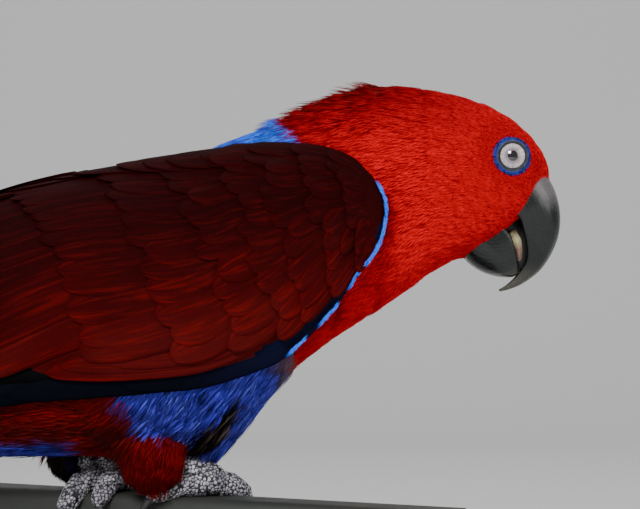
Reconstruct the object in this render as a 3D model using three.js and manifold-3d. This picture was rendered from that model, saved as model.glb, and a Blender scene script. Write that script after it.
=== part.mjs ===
// A life-size female eclectus parrot on a short length of square rail, held by a plain display stand.
// Millimetres, +Z up. The bird faces +X, and its right side faces -Y.
// The bird is drawn with z = 0 on top of the rail, and the whole figure is then lifted onto its stand.
import * as THREE from "three";
import { mergeVertices } from "three/addons/utils/BufferGeometryUtils.js";
import Module from "manifold-3d";

const wasm = await Module();
wasm.setup();

// Clearances and fineness
const gap = 0.3;
const aroundBody = 24;
const bodyStep = 0.64;
const vaneThickness = 0.7;
const overlapGap = 0.35;
const leastThickness = 0.5;

// Display stand and rail
const railYaw = (-30 * Math.PI) / 180;
const railHalf = 10;
const railCorner = 3.5;
const railFrom = -84;
const railTo = 118;
const rodLength = 30;
const rodRadius = 4;
const rodAlong = 46;
const baseSize = { length: 200, width: 124, thick: 12, corner: 16, bevel: 1.5 };
const railTop = baseSize.thick + rodLength + 2 * railHalf;

// Body, as cuts from back to belly, tail first: back point x, z, belly point x, z, half width, narrowing of the back
const bodyCuts = [
  [-119, 29, -119, 15, 10, 0],
  [-101, 44, -101, 11.5, 16.5, 0],
  [-81, 68, -81, 11, 22.5, 0.04],
  [-61, 87, -61, 12, 30, 0.06],
  [-40, 98, -40, 12.5, 36, 0.06],
  [-15, 106, -15, 12.5, 39.5, 0.05],
  [9, 114, 7, 11, 41, 0.03],
  [28, 122, 26.5, 14.5, 40.5, 0],
  [43, 128, 38.6, 29.2, 38.5, 0],
  [59, 135.5, 53, 44.5, 35, 0],
  [74, 140.3, 69, 56, 31, 0.02],
  [91, 140.5, 84, 65.5, 27, 0.05],
  [107, 138, 95, 73.5, 24.5, 0.08],
  [121.6, 132.6, 103, 78, 23, 0.1],
  [132.2, 124.1, 106.5, 79.6, 20.5, 0.1],
  [138.2, 114.8, 107.9, 79.9, 16.8, 0.08],
  [139.3, 106, 108.3, 80, 12.6, 0.05],
];
const bodySquareness = 2.12;
const headCut = 10.55;
const neckCut = 8.1;
const tailCut = 2.55;
// The face is domed: how far each of its last rings lies inside the last cut, and how far in front of it
const faceDome = [[0.2, 0], [1.6, 1.1], [5, 2.3]];

// Folded wing: height of the roof line, half width, height of the widest part and depth below it, by x from tip to bend
const wingTop = through([
  [-152, 29],
  [-135, 44],
  [-120, 58],
  [-105, 72],
  [-90, 84],
  [-70, 95.5],
  [-46, 104],
  [-20, 110.5],
  [0, 115.5],
  [20, 121],
  [40, 126],
  [60, 129],
  [81, 127],
]);
const wingHalf = through([
  [-152, 9.5],
  [-135, 13.5],
  [-120, 18.5],
  [-105, 24],
  [-90, 29.5],
  [-70, 36],
  [-46, 42],
  [-20, 46.5],
  [0, 48],
  [20, 48],
  [40, 46.5],
  [60, 43],
  [81, 36.5],
]);
const wingMiddle = through([
  [-152, 24],
  [-120, 34],
  [-90, 45],
  [-46, 58],
  [0, 67],
  [20, 73],
  [40, 80],
  [60, 88],
  [81, 97],
]);
const wingDepth = through([
  [-152, 12],
  [-120, 26],
  [-90, 38],
  [-46, 50],
  [0, 56],
  [40, 60],
  [81, 60],
]);
const wingSquareness = 2.25;
const wingBend = 81;
// Upper and lower edge of the folded wing in side view, by x
const wingUpper = through([
  [-152, 24],
  [-147, 31],
  [-135, 43],
  [-120, 60],
  [-100, 84],
  [-60, 106],
  [-20, 117],
  [8, 119.5],
  [24, 118.8],
  [54, 118.7],
  [65, 117],
  [70.3, 114.8],
  [75.4, 110.4],
  [78, 106.5],
  [80, 101.8],
  [81, 97],
]);
const wingLower = through([
  [-152, 21],
  [-130, 21.5],
  [-100, 24.5],
  [-70, 28.5],
  [-46, 32],
  [-25, 34.5],
  [0, 36.5],
  [23, 39.6],
  [36, 43.8],
  [46, 48],
  [55, 55.5],
  [65.5, 67],
  [72.8, 77.9],
  [76.5, 82.5],
  [79.1, 87.3],
  [80.4, 91.9],
  [81, 97],
]);
const wingSplit = 1;
const wingRoot = 15;
// Slab under the wing's feathers: its grid, its rear end, where it thins to front and rear, and how deep it lies
const wingSlab = { along: 12, across: 7, end: -96, frontFrom: 73, rearFrom: -30, skin: -2, rearRoot: -5, least: 1 };
const wingSlabSink = { edge: 1.6, edgePower: 5, front: 6, rear: 2.2 };

// Tail, as a roof-shaped fan that leaves the rump
const tailRoot = [-66, 0, 40];
const tailSlope = (18.5 * Math.PI) / 180;
const tailRoof = 0.011;
const tailLength = 120;
const tailPairs = 6;
const tailFan = {
  root: { back: 22, left: 1.5, step: 0.9 },
  tip: { left: 4.5, step: 3.2, shorter: 0.55 },
  level: { step: 1.05, otherSide: 0.55 },
  width: 17,
  blunt: 0.16,
};
const tailCoverts = [
  { lift: 3.2, reach: 60, spread: 5, count: 3, root: 14 },
  { lift: -8.6, reach: 74, spread: 5.6, count: 4, root: 16 },
];
const covertForm = { width: 15, blunt: 0.4, rootShare: 0.9, sink: 1.2, fall: 0.9, shorter: 2.5 };

// Head pieces
const eye = { x: 123.8, z: 115.6, centre: 13.5, radius: 6.1 };
const lid = { out: 17.8, radius: 5.5, thick: 0.95, turn: 0.16 };
const upperBill = [
  // outer x, z, inner x, z, half width
  [136.2, 110.5, 122.8, 98.5, 11.2],
  [139.6, 104.2, 126.6, 94.6, 10.8],
  [141.3, 97, 128, 90.6, 9.8],
  [141, 89.6, 129, 86.9, 8.5],
  [138.6, 82.8, 129.6, 83.2, 7],
  [134.4, 76.6, 129.2, 79.2, 5],
  [128.6, 72.2, 126.3, 74.9, 3],
  [124, 70.2, 122.9, 71.7, 1.5],
  [120.6, 69.4, 120.2, 70.1, 0.5],
];
const lowerBill = [
  [106.2, 83.2, 121.4, 91.4, 10],
  [109.8, 79.2, 123.8, 88.6, 9.8],
  [114.4, 76.2, 125, 84.8, 9],
  [119.6, 74.6, 125.8, 81.4, 7.6],
  [124.2, 74.3, 126.5, 78.6, 5.6],
  [127, 75.3, 127.3, 77, 3.4],
];
const tongueLine = [
  // x, z, radius
  [116, 91, 2.6],
  [121.5, 91.4, 2.7],
  [125.4, 89, 2.4],
  [127, 84.8, 1.9],
  [127.2, 80.6, 1.4],
];

// Legs: pad and heel of each foot, and toes as points [along the rail, over the rail, lift], with claws after them
const feet = {
  right: {
    side: -1,
    pad: [24.5, 1.5, 5.6],
    heel: [7, -9, 13.4],
    thigh: { at: [2.2, -19.5, 15.5], size: [12.5, 10.5, 15.5] },
    toes: [
      { radius: 3.2, path: [[23, 2.2], [17, 4], [11.5, 5]], claw: [[9.5, 6.6], [5.5, 11.5]] },
      { radius: 3.5, path: [[22.5, 4], [19, 9.5], [18, 16]], claw: [[17.6, 19], [17, 27]] },
      { radius: 3.7, path: [[26.5, 4], [28.6, 10], [28.8, 18]], claw: [[29, 21], [29.4, 29]] },
      { radius: 3.9, path: [[23.5, -1.5], [17, -5.4], [10.5, -9.6]], claw: [[7.6, -11.6], [3.4, -18.5]] },
    ],
  },
  left: {
    side: 1,
    pad: [-15, 1.5, 5.6],
    heel: [-27.5, 17, 12.6],
    thigh: { at: [-27, 19.5, 15.5], size: [12.5, 10.5, 15.5] },
    toes: [
      { radius: 3.4, path: [[-13.5, -1], [-12, -6.5], [-11.6, -11]], claw: [[-11.4, -13.4], [-11, -20.5]] },
      { radius: 3.5, path: [[-12.5, 4], [-9.5, 10], [-9, 16.5]], claw: [[-8.8, 19.5], [-8.6, 27]] },
      { radius: 3.7, path: [[-17.5, 4], [-20.5, 10], [-21, 18]], claw: [[-21.2, 21], [-21.6, 29]] },
      { radius: 3.8, path: [[-17.5, -0.5], [-22.5, -6], [-25, -12.5]], claw: [[-25.8, -15.6], [-27.6, -22.5]] },
    ],
  },
};
const shankRadii = [4.6, 4.3, 5];
const shankBow = 0.6;
const toeForm = { root: 1.05, tip: 0.8, pads: 2, swell: 0.08 };
const clawForm = { radii: [2.1, 1.7, 0.45], lift: 0.75, root: 0.6, bend: 1.2, tip: 1.1 };

// Colours, roughness and metalness of the surfaces
const finish = {
  redHead: [0xb3120f, 0.75, 0],
  maroonWing: [0x4a0d0f, 0.7, 0],
  redTail: [0x7c1412, 0.7, 0],
  blueBelly: [0x2b3fa8, 0.75, 0],
  redThigh: [0x74110f, 0.8, 0],
  blackBill: [0x232826, 0.3, 0],
  paleTongue: [0xb9ab86, 0.5, 0],
  paleIris: [0xd9d0cc, 0.1, 0],
  greySkin: [0x8f8d93, 0.6, 0],
  darkClaw: [0x15161a, 0.3, 0],
  darkRail: [0x34352f, 0.45, 0.3],
  standWood: [0x2c2521, 0.5, 0],
  standSteel: [0x8b8d90, 0.35, 1],
};

// A smooth curve through [position, value] pairs, held level past its ends.
function through(keys) {
  const slopes = keys.map((key, i) => {
    const before = keys[Math.max(i - 1, 0)];
    const after = keys[Math.min(i + 1, keys.length - 1)];
    return (after[1] - before[1]) / (after[0] - before[0]);
  });
  return (at) => {
    let i = 0;
    while (i < keys.length - 2 && at > keys[i + 1][0]) i += 1;
    const [x0, y0] = keys[i];
    const [x1, y1] = keys[i + 1];
    const span = x1 - x0;
    const t = Math.min(Math.max((at - x0) / span, 0), 1);
    const rise = 3 * t * t - 2 * t * t * t;
    const enter = t * (1 - t) * (1 - t) * span;
    const leave = t * t * (t - 1) * span;
    return y0 + (y1 - y0) * rise + slopes[i] * enter + slopes[i + 1] * leave;
  };
}

// Repeatable random numbers from 0 to 1, so that every build is the same.
function seeded(seed) {
  let state = seed;
  return () => {
    state = (state * 1664525 + 1013904223) % 4294967296;
    return state / 4294967296;
  };
}

const point = (x, y, z) => new THREE.Vector3(x, y, z);
const mix = (a, b, t) => a + (b - a) * t;
const signedPower = (value, power) => Math.sign(value) * Math.abs(value) ** power;

// A closed body from points and triangles, turned so that its faces point out.
function solidOf(points, triangles) {
  let volume = 0;
  for (const [a, b, c] of triangles) {
    volume += points[a].dot(points[b].clone().cross(points[c]));
  }
  const faces = volume < 0 ? triangles.map(([a, b, c]) => [a, c, b]) : triangles;
  const mesh = new wasm.Mesh({
    numProp: 3,
    vertProperties: new Float32Array(points.flatMap((p) => [p.x, p.y, p.z])),
    triVerts: new Uint32Array(faces.flat()),
  });
  return new wasm.Manifold(mesh);
}

// The same for a closed three.js geometry, put in place by a matrix.
function solidFrom(geometry, matrix = new THREE.Matrix4()) {
  const bare = new THREE.BufferGeometry();
  const whole = geometry.index ? geometry.toNonIndexed() : geometry;
  bare.setAttribute("position", whole.getAttribute("position").clone());
  const merged = mergeVertices(bare.applyMatrix4(matrix), 1e-4);
  const place = merged.getAttribute("position");
  const points = Array.from({ length: place.count }, (_, i) => point(place.getX(i), place.getY(i), place.getZ(i)));
  const triangles = [];
  for (let i = 0; i < merged.index.count; i += 3) {
    const [a, b, c] = [0, 1, 2].map((k) => merged.index.getX(i + k));
    if (a !== b && b !== c && a !== c) triangles.push([a, b, c]);
  }
  return solidOf(points, triangles);
}

// A closed body through rings of points, with a flat fan at each end.
function loft(rings) {
  const around = rings[0].length;
  const points = rings.flat();
  const triangles = [];
  for (let r = 0; r < rings.length - 1; r += 1) {
    for (let k = 0; k < around; k += 1) {
      const next = (k + 1) % around;
      const [a, b, c, d] = [r * around + k, r * around + next, (r + 1) * around + next, (r + 1) * around + k];
      triangles.push([a, b, c], [a, c, d]);
    }
  }
  const middle = (ring) => ring.reduce((sum, p) => sum.add(p), point(0, 0, 0)).divideScalar(around);
  const last = (rings.length - 1) * around;
  points.push(middle(rings[0]), middle(rings.at(-1)));
  for (let k = 0; k < around; k += 1) {
    const next = (k + 1) % around;
    triangles.push([rings.length * around, next, k], [rings.length * around + 1, last + k, last + next]);
  }
  return solidOf(points, triangles);
}

const limbDome = [[0.8, 0.55], [0.3, 0.92]];

// A round limb along a smooth curve, with a radius for each point of it and a domed far end.
function limb(points, radii, { steps, sides, grow, pads = 0, swell = 0 }) {
  const curve = new THREE.CatmullRomCurve3(points, false, "centripetal");
  const radiusAt = through(radii.map((r, i) => [i / (radii.length - 1), r]));
  const frames = curve.computeFrenetFrames(steps, false);
  const ringAt = (t, i, scale, shift) => {
    const centre = curve.getPointAt(t).addScaledVector(frames.tangents[i], shift);
    const fuller = 1 + swell * Math.sin(Math.PI * pads * t) ** 2;
    return Array.from({ length: sides }, (_, k) => {
      const turn = (2 * Math.PI * k) / sides;
      const reach = (radiusAt(t) * fuller + grow) * scale;
      return centre
        .clone()
        .addScaledVector(frames.normals[i], reach * Math.cos(turn))
        .addScaledVector(frames.binormals[i], reach * Math.sin(turn));
    });
  };
  const rings = Array.from({ length: steps + 1 }, (_, i) => ringAt(i / steps, i, 1, 0));
  const endRadius = radii.at(-1) + grow;
  for (const [scale, shift] of limbDome) rings.push(ringAt(1, steps, scale, endRadius * shift));
  return loft(rings);
}

const largest = (solid) =>
  solid.decompose().reduce((best, piece) => (piece.volume() > best.volume() ? piece : best));
const fuse = (pieces) => wasm.Manifold.union(pieces);
const clearOf = (solid, ...others) => largest(others.reduce((left, other) => left.subtract(other), solid));

// Body: one loft from tail to face, parted by thin cuts
const bodyColumns = bodyCuts[0].map((_, column) => through(bodyCuts.map((cut, i) => [i, cut[column]])));

function bodyCut(at) {
  const [backX, backZ, bellyX, bellyZ, half, narrow] = bodyColumns.map((column) => column(at));
  const back = point(backX, 0, backZ);
  const belly = point(bellyX, 0, bellyZ);
  const up = back.clone().sub(belly);
  const height = up.length() / 2;
  return { centre: back.clone().add(belly).multiplyScalar(0.5), up: up.normalize(), height, half, narrow };
}

function bodyRing(at, grow, shift = 0) {
  const { centre, up, height, half, narrow } = bodyCut(at);
  const along = point(0, 1, 0).cross(up);
  return Array.from({ length: aroundBody }, (_, k) => {
    const turn = (2 * Math.PI * k) / aroundBody;
    const rise = signedPower(Math.sin(turn), 2 / bodySquareness);
    const reach = signedPower(Math.cos(turn), 2 / bodySquareness) * (1 - narrow * rise);
    return centre
      .clone()
      .addScaledVector(up, (height + grow) * rise)
      .add(point(0, (half + grow) * reach, 0))
      .addScaledVector(along, shift);
  });
}

function wholeBody(grow = 0) {
  const last = bodyCuts.length - 1;
  const rings = [bodyRing(0, grow, -grow)];
  for (let at = bodyStep; at < last - bodyStep / 2; at += bodyStep) rings.push(bodyRing(at, grow));
  for (const [inset, front] of faceDome) rings.push(bodyRing(last, grow - inset, grow * (front > 0) + front));
  return loft(rings);
}

// The part of a body between two of its cuts, short of each by half the gap.
function bodyBetween(body, from, to) {
  let piece = body;
  for (const [at, sign] of [
    [from, 1],
    [to, -1],
  ]) {
    if (at === null) continue;
    const { centre, up } = bodyCut(at);
    const along = point(0, 1, 0).cross(up).multiplyScalar(sign);
    piece = piece.trimByPlane([along.x, along.y, along.z], along.dot(centre) + gap / 2);
  }
  return largest(piece);
}

// Perch: a square rail with rounded edges that crosses under the bird
const railDirection = point(Math.cos(railYaw), Math.sin(railYaw), 0);
const railAcross = point(-Math.sin(railYaw), Math.cos(railYaw), 0);

function rail(grow = 0) {
  const half = railHalf + grow;
  const corner = railCorner + grow;
  const section = new THREE.Shape();
  for (const [i, [x, y]] of [[1, 1], [-1, 1], [-1, -1], [1, -1]].entries()) {
    section.absarc(x * (half - corner), y * (half - corner), corner, (i * Math.PI) / 2, ((i + 1) * Math.PI) / 2);
  }
  const depth = railTo - railFrom + 2 * grow;
  const bar = new THREE.ExtrudeGeometry(section, { depth, bevelEnabled: false, curveSegments: 4 });
  const place = new THREE.Matrix4().makeBasis(railAcross, point(0, 0, 1), railDirection);
  const start = railDirection.clone().multiplyScalar(railFrom - grow);
  place.setPosition(start.x, start.y, -railHalf);
  return solidFrom(bar, place);
}

// A point over the rail: how far along it, how far across its surface from the middle of its top, and how high off it.
function onRail(along, over, lift) {
  const flat = railHalf - railCorner;
  const bend = (railCorner * Math.PI) / 2;
  const past = Math.abs(over) - flat;
  let across = Math.abs(over);
  let height = lift;
  if (past > bend) {
    across = railHalf + lift;
    height = -railCorner - (past - bend);
  } else if (past > 0) {
    across = flat + (railCorner + lift) * Math.sin(past / railCorner);
    height = -railCorner + (railCorner + lift) * Math.cos(past / railCorner);
  }
  return railDirection
    .clone()
    .multiplyScalar(along)
    .addScaledVector(railAcross, across * Math.sign(over))
    .add(point(0, 0, height));
}

// Wing surface: x along the bird, angle up from level on its side, and lift off the feathers' middle layer
const wingSurface = (side) => ({
  at(x, angle, lift) {
    const rise = (angle > 0 ? wingTop(x) - wingMiddle(x) : wingDepth(x)) + lift;
    const power = 2 / wingSquareness;
    return point(
      x,
      side * (wingHalf(x) + lift) * signedPower(Math.cos(angle), power),
      wingMiddle(x) + rise * signedPower(Math.sin(angle), power),
    );
  },
  drape(from, lift) {
    const above = from.z - wingMiddle(from.x);
    const rise = above > 0 ? wingTop(from.x) - wingMiddle(from.x) : wingDepth(from.x);
    const out = Math.max(side * from.y, 0.01) / wingHalf(from.x);
    const angle = Math.atan(signedPower(above / rise / out, wingSquareness / 2));
    return this.at(from.x, angle, lift);
  },
});

function wingAngle(x, share) {
  const angleAt = (z) => {
    const above = z - wingMiddle(x);
    const rise = above > 0 ? wingTop(x) - wingMiddle(x) : wingDepth(x);
    const part = Math.min(Math.abs(above / rise), 1);
    return Math.sign(above) * Math.asin(part ** (wingSquareness / 2));
  };
  const middleStop = Math.acos(Math.min(wingSplit / wingHalf(x), 1) ** (wingSquareness / 2));
  const upper = Math.min(angleAt(wingUpper(x)), middleStop);
  return mix(upper, angleAt(wingLower(x)), share);
}

// Tail surface: distance back from the root, distance to the left, and lift
const tailBack = point(-Math.cos(tailSlope), 0, -Math.sin(tailSlope));
const tailUp = point(-Math.sin(tailSlope), 0, Math.cos(tailSlope));
const tailSurface = {
  at(back, left, lift) {
    return point(...tailRoot)
      .addScaledVector(tailBack, back)
      .add(point(0, left, 0))
      .addScaledVector(tailUp, lift - tailRoof * left * left);
  },
  drape(from, lift) {
    const offset = from.clone().sub(point(...tailRoot));
    return this.at(offset.dot(tailBack), offset.y, lift);
  },
};

// One feather: a thin tapered plate that follows its surface, split alike on both faces.
const longVane = [0, 0.45, 0.86, 1];
const shortVane = [0, 0.6, 1];
const vaneForm = { rootWidth: 0.5, fullAt: 0.45, tipWidth: 0.26, blunt: 0.3, step: 0.02 };

function vane(surface, { root, tip, width, lift, roll = 0, stations, blunt = vaneForm.blunt }) {
  const centreAt = (t) => surface.at(mix(root[0], tip[0], t), mix(root[1], tip[1], t), mix(lift[0], lift[1], t));
  const upper = [];
  const lower = [];
  for (const t of stations) {
    const centre = centreAt(t);
    const ahead = centreAt(Math.min(t + vaneForm.step, 1)).sub(centreAt(Math.max(t - vaneForm.step, 0))).normalize();
    const raised = surface.drape(centre, mix(lift[0], lift[1], t) + 1).sub(centre);
    const sideways = raised.cross(ahead).normalize();
    const base = mix(vaneForm.rootWidth, 1, Math.min(t / vaneForm.fullAt, 1));
    const end = Math.min(Math.max(t - (1 - blunt), 0) / blunt, 1);
    const half = (width / 2) * base * Math.max(Math.sqrt(1 - end * end), vaneForm.tipWidth);
    const thin = mix(vaneThickness, leastThickness, t) / 2;
    for (const edge of [-1, 0, 1]) {
      const place = centre.clone().addScaledVector(sideways, edge * half);
      const high = mix(lift[0], lift[1], t) + (roll * edge * half * 2) / width;
      upper.push(surface.drape(place, high + thin));
      lower.push(surface.drape(place, high - thin));
    }
  }
  const points = [...upper, ...lower];
  const count = upper.length;
  const rows = stations.length;
  const triangles = [];
  for (let r = 0; r < rows - 1; r += 1) {
    for (let c = 0; c < 2; c += 1) {
      const [a, b, d, e] = [r * 3 + c, r * 3 + c + 1, (r + 1) * 3 + c, (r + 1) * 3 + c + 1];
      const faces = c === 0 ? [[a, b, e], [a, e, d]] : [[a, b, d], [b, e, d]];
      for (const [i, j, k] of faces) triangles.push([i, j, k], [i + count, k + count, j + count]);
    }
  }
  const rim = [0, 1, 2];
  for (let r = 1; r < rows; r += 1) rim.push(r * 3 + 2);
  rim.push((rows - 1) * 3 + 1);
  for (let r = rows - 1; r > 0; r -= 1) rim.push(r * 3);
  rim.forEach((a, i) => {
    const b = rim[(i + 1) % rim.length];
    triangles.push([a, a + count, b + count], [a, b + count, b]);
  });
  return solidOf(points, triangles);
}

// Rows of the folded wing from the lowest layer to the top one. x of roots and tips and the share of the way from
// the upper edge to the lower one are given for the first and last feather of the row.
const wingRows = [
  // primaries
  { count: 5, rootX: [-28, 2], tipX: [-112, -150], root: [0.5, 0.93], tip: [0.2, 0.6], width: 15, lift: [-2.6, -1.6],
    stations: longVane, sink: 0.5 },
  // secondaries
  { count: 7, rootX: [-12, 12], tipX: [-110, -62], root: [0.06, 0.78], tip: [0.09, 0.86], width: 17, lift: [-1.4, 0.3],
    stations: longVane, sink: 0 },
  // primary coverts
  { count: 2, rootX: [44, 48], tipX: [-18, -34], root: [0.88, 0.95], tip: [0.84, 0.955], width: 10, lift: [-1.6, 0],
    stations: shortVane, sink: 0 },
  // greater coverts
  { count: 6, rootX: [10, 34], tipX: [-42, -14], root: [0.06, 0.8], tip: [0.1, 0.84], width: 17, lift: [-1.2, 1.2],
    stations: shortVane, sink: 0 },
  // alula
  { count: 2, rootX: [60, 60], tipX: [16, 26], root: [0.84, 0.9], tip: [0.88, 0.955], width: 8, lift: [-1.2, 0.9],
    stations: shortVane, sink: 0 },
  // median coverts
  { count: 5, rootX: [34, 52], tipX: [-2, 16], root: [0.08, 0.8], tip: [0.12, 0.84], width: 15, lift: [-1.2, 1.5],
    stations: shortVane, sink: 0 },
  // lesser coverts
  { count: 4, rootX: [54, 64], tipX: [26, 38], root: [0.1, 0.84], tip: [0.12, 0.86], width: 17, lift: [-1.2, 1.7],
    stations: shortVane, sink: 0 },
  // shoulder coverts
  { count: 3, rootX: [71, 74], tipX: [47, 56], root: [0.14, 0.8], tip: [0.14, 0.84], width: 19, lift: [-2.4, 1.7],
    stations: shortVane, sink: 0 },
  // scapulars
  { count: 3, rootX: [60, 14], tipX: [26, -26], root: [0.06, 0.05], tip: [0.1, 0.08], width: 17, lift: [-1.2, 2.4],
    stations: shortVane, sink: 0 },
];
const featherVariety = { tip: 2, width: 0.1 };
const featherOverlap = 1.45;

function wingCore(side) {
  const surface = wingSurface(side);
  const { along, across } = wingSlab;
  const outer = [];
  const inner = [];
  for (let i = 0; i <= along; i += 1) {
    const t = i / along;
    const x = mix(wingBend - 0.05, wingSlab.end, 1 - Math.cos((t * Math.PI) / 2));
    const front = Math.max(x - wingSlab.frontFrom, 0) / (wingBend - wingSlab.frontFrom);
    const rear = Math.max(wingSlab.rearFrom - x, 0) / (wingSlab.rearFrom - wingSlab.end);
    for (let k = 0; k <= across; k += 1) {
      const share = k / across;
      const edge = Math.abs(2 * share - 1) ** wingSlabSink.edgePower;
      const angle = wingAngle(x, share);
      const rounding = wingSlabSink.front * (1 - Math.sqrt(1 - front * front));
      const skin = wingSlab.skin - wingSlabSink.edge * edge - rounding - wingSlabSink.rear * rear;
      outer.push(surface.at(x, angle, skin));
      inner.push(surface.at(x, angle, Math.min(mix(-wingRoot, wingSlab.rearRoot, rear), skin - wingSlab.least)));
    }
  }
  const points = [...outer, ...inner];
  const count = outer.length;
  const width = across + 1;
  const triangles = [];
  for (let i = 0; i < along; i += 1) {
    for (let k = 0; k < across; k += 1) {
      const [a, b, c, d] = [i * width + k, i * width + k + 1, (i + 1) * width + k + 1, (i + 1) * width + k];
      for (const [p, q, r] of [[a, b, c], [a, c, d]]) triangles.push([p, q, r], [p + count, r + count, q + count]);
    }
  }
  const rim = [];
  for (let k = 0; k < width; k += 1) rim.push(k);
  for (let i = 1; i <= along; i += 1) rim.push(i * width + across);
  for (let k = across - 1; k >= 0; k -= 1) rim.push(along * width + k);
  for (let i = along - 1; i > 0; i -= 1) rim.push(i * width);
  rim.forEach((a, i) => {
    const b = rim[(i + 1) % rim.length];
    triangles.push([a, a + count, b + count], [a, b + count, b]);
  });
  return solidOf(points, triangles);
}

function wing(side, bodyGrown) {
  const surface = wingSurface(side);
  const vary = seeded(side > 0 ? 41 : 17);
  const pieces = [wingCore(side)];
  for (const row of wingRows) {
    for (let i = 0; i < row.count; i += 1) {
      const t = row.count > 1 ? i / (row.count - 1) : 0.5;
      const rootX = mix(...row.rootX, t);
      const tipX = mix(...row.tipX, t) + (vary() - 0.5) * featherVariety.tip;
      pieces.push(
        vane(surface, {
          root: [rootX, wingAngle(rootX, mix(...row.root, t))],
          tip: [tipX, wingAngle(tipX, mix(...row.tip, t))],
          width: row.width * (1 + featherVariety.width * (vary() - 0.5)),
          lift: row.lift.map((lift) => lift - row.sink * i),
          roll: (side * (vaneThickness + overlapGap) * featherOverlap) / 2,
          stations: row.stations,
        }),
      );
    }
  }
  const own = fuse(pieces).trimByPlane([0, side, 0], gap / 2);
  return clearOf(own, bodyGrown);
}

function tail(body) {
  const core = bodyBetween(body, null, tailCut);
  const vary = seeded(5);
  const pieces = [core];
  for (let i = tailPairs - 1; i >= 0; i -= 1) {
    for (const side of [-1, 1]) {
      const level = -tailFan.level.step * i - (side > 0 ? tailFan.level.otherSide : 0);
      pieces.push(
        vane(tailSurface, {
          root: [tailFan.root.back, side * (tailFan.root.left + tailFan.root.step * i)],
          tip: [tailLength - tailFan.tip.shorter * i * i + vary(), side * (tailFan.tip.left + tailFan.tip.step * i)],
          width: tailFan.width,
          lift: [level, level],
          stations: longVane,
          blunt: tailFan.blunt,
        }),
      );
    }
  }
  for (const { lift, reach, spread, count, root } of tailCoverts) {
    for (let i = 0; i < count; i += 1) {
      const out = i - (count - 1) / 2;
      const down = Math.sign(lift);
      pieces.push(
        vane(tailSurface, {
          root: [root, out * spread * covertForm.rootShare],
          tip: [reach - covertForm.shorter * Math.abs(out), out * spread],
          width: covertForm.width,
          lift: [lift - down * covertForm.sink, lift - down * covertForm.fall * Math.abs(out)],
          stations: shortVane,
          blunt: covertForm.blunt,
        }),
      );
    }
  }
  return largest(fuse(pieces));
}

// Head: eyes in sockets with raised lids
function eyeBall(side, grow = 0) {
  const ball = new THREE.SphereGeometry(eye.radius + grow, 14, 9);
  const facing = new THREE.Matrix4().makeRotationX(Math.PI / 2);
  return solidFrom(ball, facing.setPosition(eye.x, side * eye.centre, eye.z));
}

function eyeLid(side) {
  const ring = new THREE.TorusGeometry(lid.radius, lid.thick, 5, 14);
  const facing = new THREE.Matrix4().makeRotationX(Math.PI / 2);
  const turned = new THREE.Matrix4().makeRotationZ(side * lid.turn).multiply(facing);
  return solidFrom(ring, turned.setPosition(eye.x, side * lid.out, eye.z));
}

function head(body) {
  const skull = bodyBetween(body, headCut, null);
  const lids = [-1, 1].map((side) => eyeLid(side));
  return clearOf(fuse([skull, ...lids]), eyeBall(-1, gap), eyeBall(1, gap));
}

// Bill: half sections from the middle of the outer side round to the cutting edge and the hollow inside
const upperSection = [[0, 1], [0.42, 0.93], [0.78, 0.66], [0.97, 0.2], [1, -0.35], [0.95, -1], [0.6, -0.5], [0, -0.32]];
const lowerSection = [[0, 1], [0.45, 0.9], [0.82, 0.6], [1, 0.1], [0.98, -0.5], [0.92, -1], [0.66, -0.45], [0, -0.2]];

function bill(cuts, section) {
  const columns = cuts[0].map((_, column) => through(cuts.map((cut, i) => [i, cut[column]])));
  const rings = [];
  const steps = Math.round((cuts.length - 1) * 1.4);
  for (let i = 0; i <= steps; i += 1) {
    const at = (i / steps) * (cuts.length - 1);
    const [outerX, outerZ, innerX, innerZ, half] = columns.map((column) => column(at));
    const outer = point(outerX, 0, outerZ);
    const inner = point(innerX, 0, innerZ);
    const middle = outer.clone().add(inner).multiplyScalar(0.5);
    const out = outer.clone().sub(middle);
    const ringPoint = (w, v, side) => middle.clone().addScaledVector(out, v).add(point(0, side * w * half, 0));
    const one = section.map(([w, v]) => ringPoint(w, v, 1));
    const other = section.slice(1, -1).map(([w, v]) => ringPoint(w, v, -1));
    rings.push([...one, ...other.reverse()]);
  }
  return loft(rings);
}

function tongue(grow = 0) {
  const points = tongueLine.map(([x, z]) => point(x, 0, z));
  return limb(points, tongueLine.map(([, , radius]) => radius), { steps: 6, sides: 8, grow });
}

// Legs
function shank(foot, grow = 0) {
  const pad = onRail(...foot.pad);
  const heel = point(...foot.heel);
  const middle = heel.clone().lerp(pad, 0.5).add(point(0, 0, shankBow));
  return limb([heel, middle, pad], shankRadii, { steps: 5, sides: 10, grow });
}

function toe(spec, grow = 0) {
  const points = spec.path.map(([along, over]) => onRail(along, over, spec.radius + 2 * gap));
  const radii = [toeForm.root, 1, toeForm.tip].map((share) => spec.radius * share);
  return limb(points, radii, { steps: 4, sides: 8, grow, pads: toeForm.pads, swell: toeForm.swell });
}

function claw(spec, grow = 0) {
  const [lastAlong, lastOver] = spec.path.at(-1);
  const lift = spec.radius * clawForm.lift;
  const [bend, tip] = spec.claw;
  const points = [
    onRail(lastAlong, lastOver, lift + clawForm.root),
    onRail(...bend, lift + clawForm.bend),
    onRail(...tip, clawForm.tip),
  ];
  return limb(points, clawForm.radii, { steps: 4, sides: 6, grow });
}

function thigh(foot) {
  const { at, size } = foot.thigh;
  const ball = new THREE.SphereGeometry(1, 12, 8);
  const matrix = new THREE.Matrix4().makeRotationX(Math.PI / 2);
  const scaled = new THREE.Matrix4().makeScale(...size).multiply(matrix);
  return solidFrom(ball, scaled.setPosition(...at));
}

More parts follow.
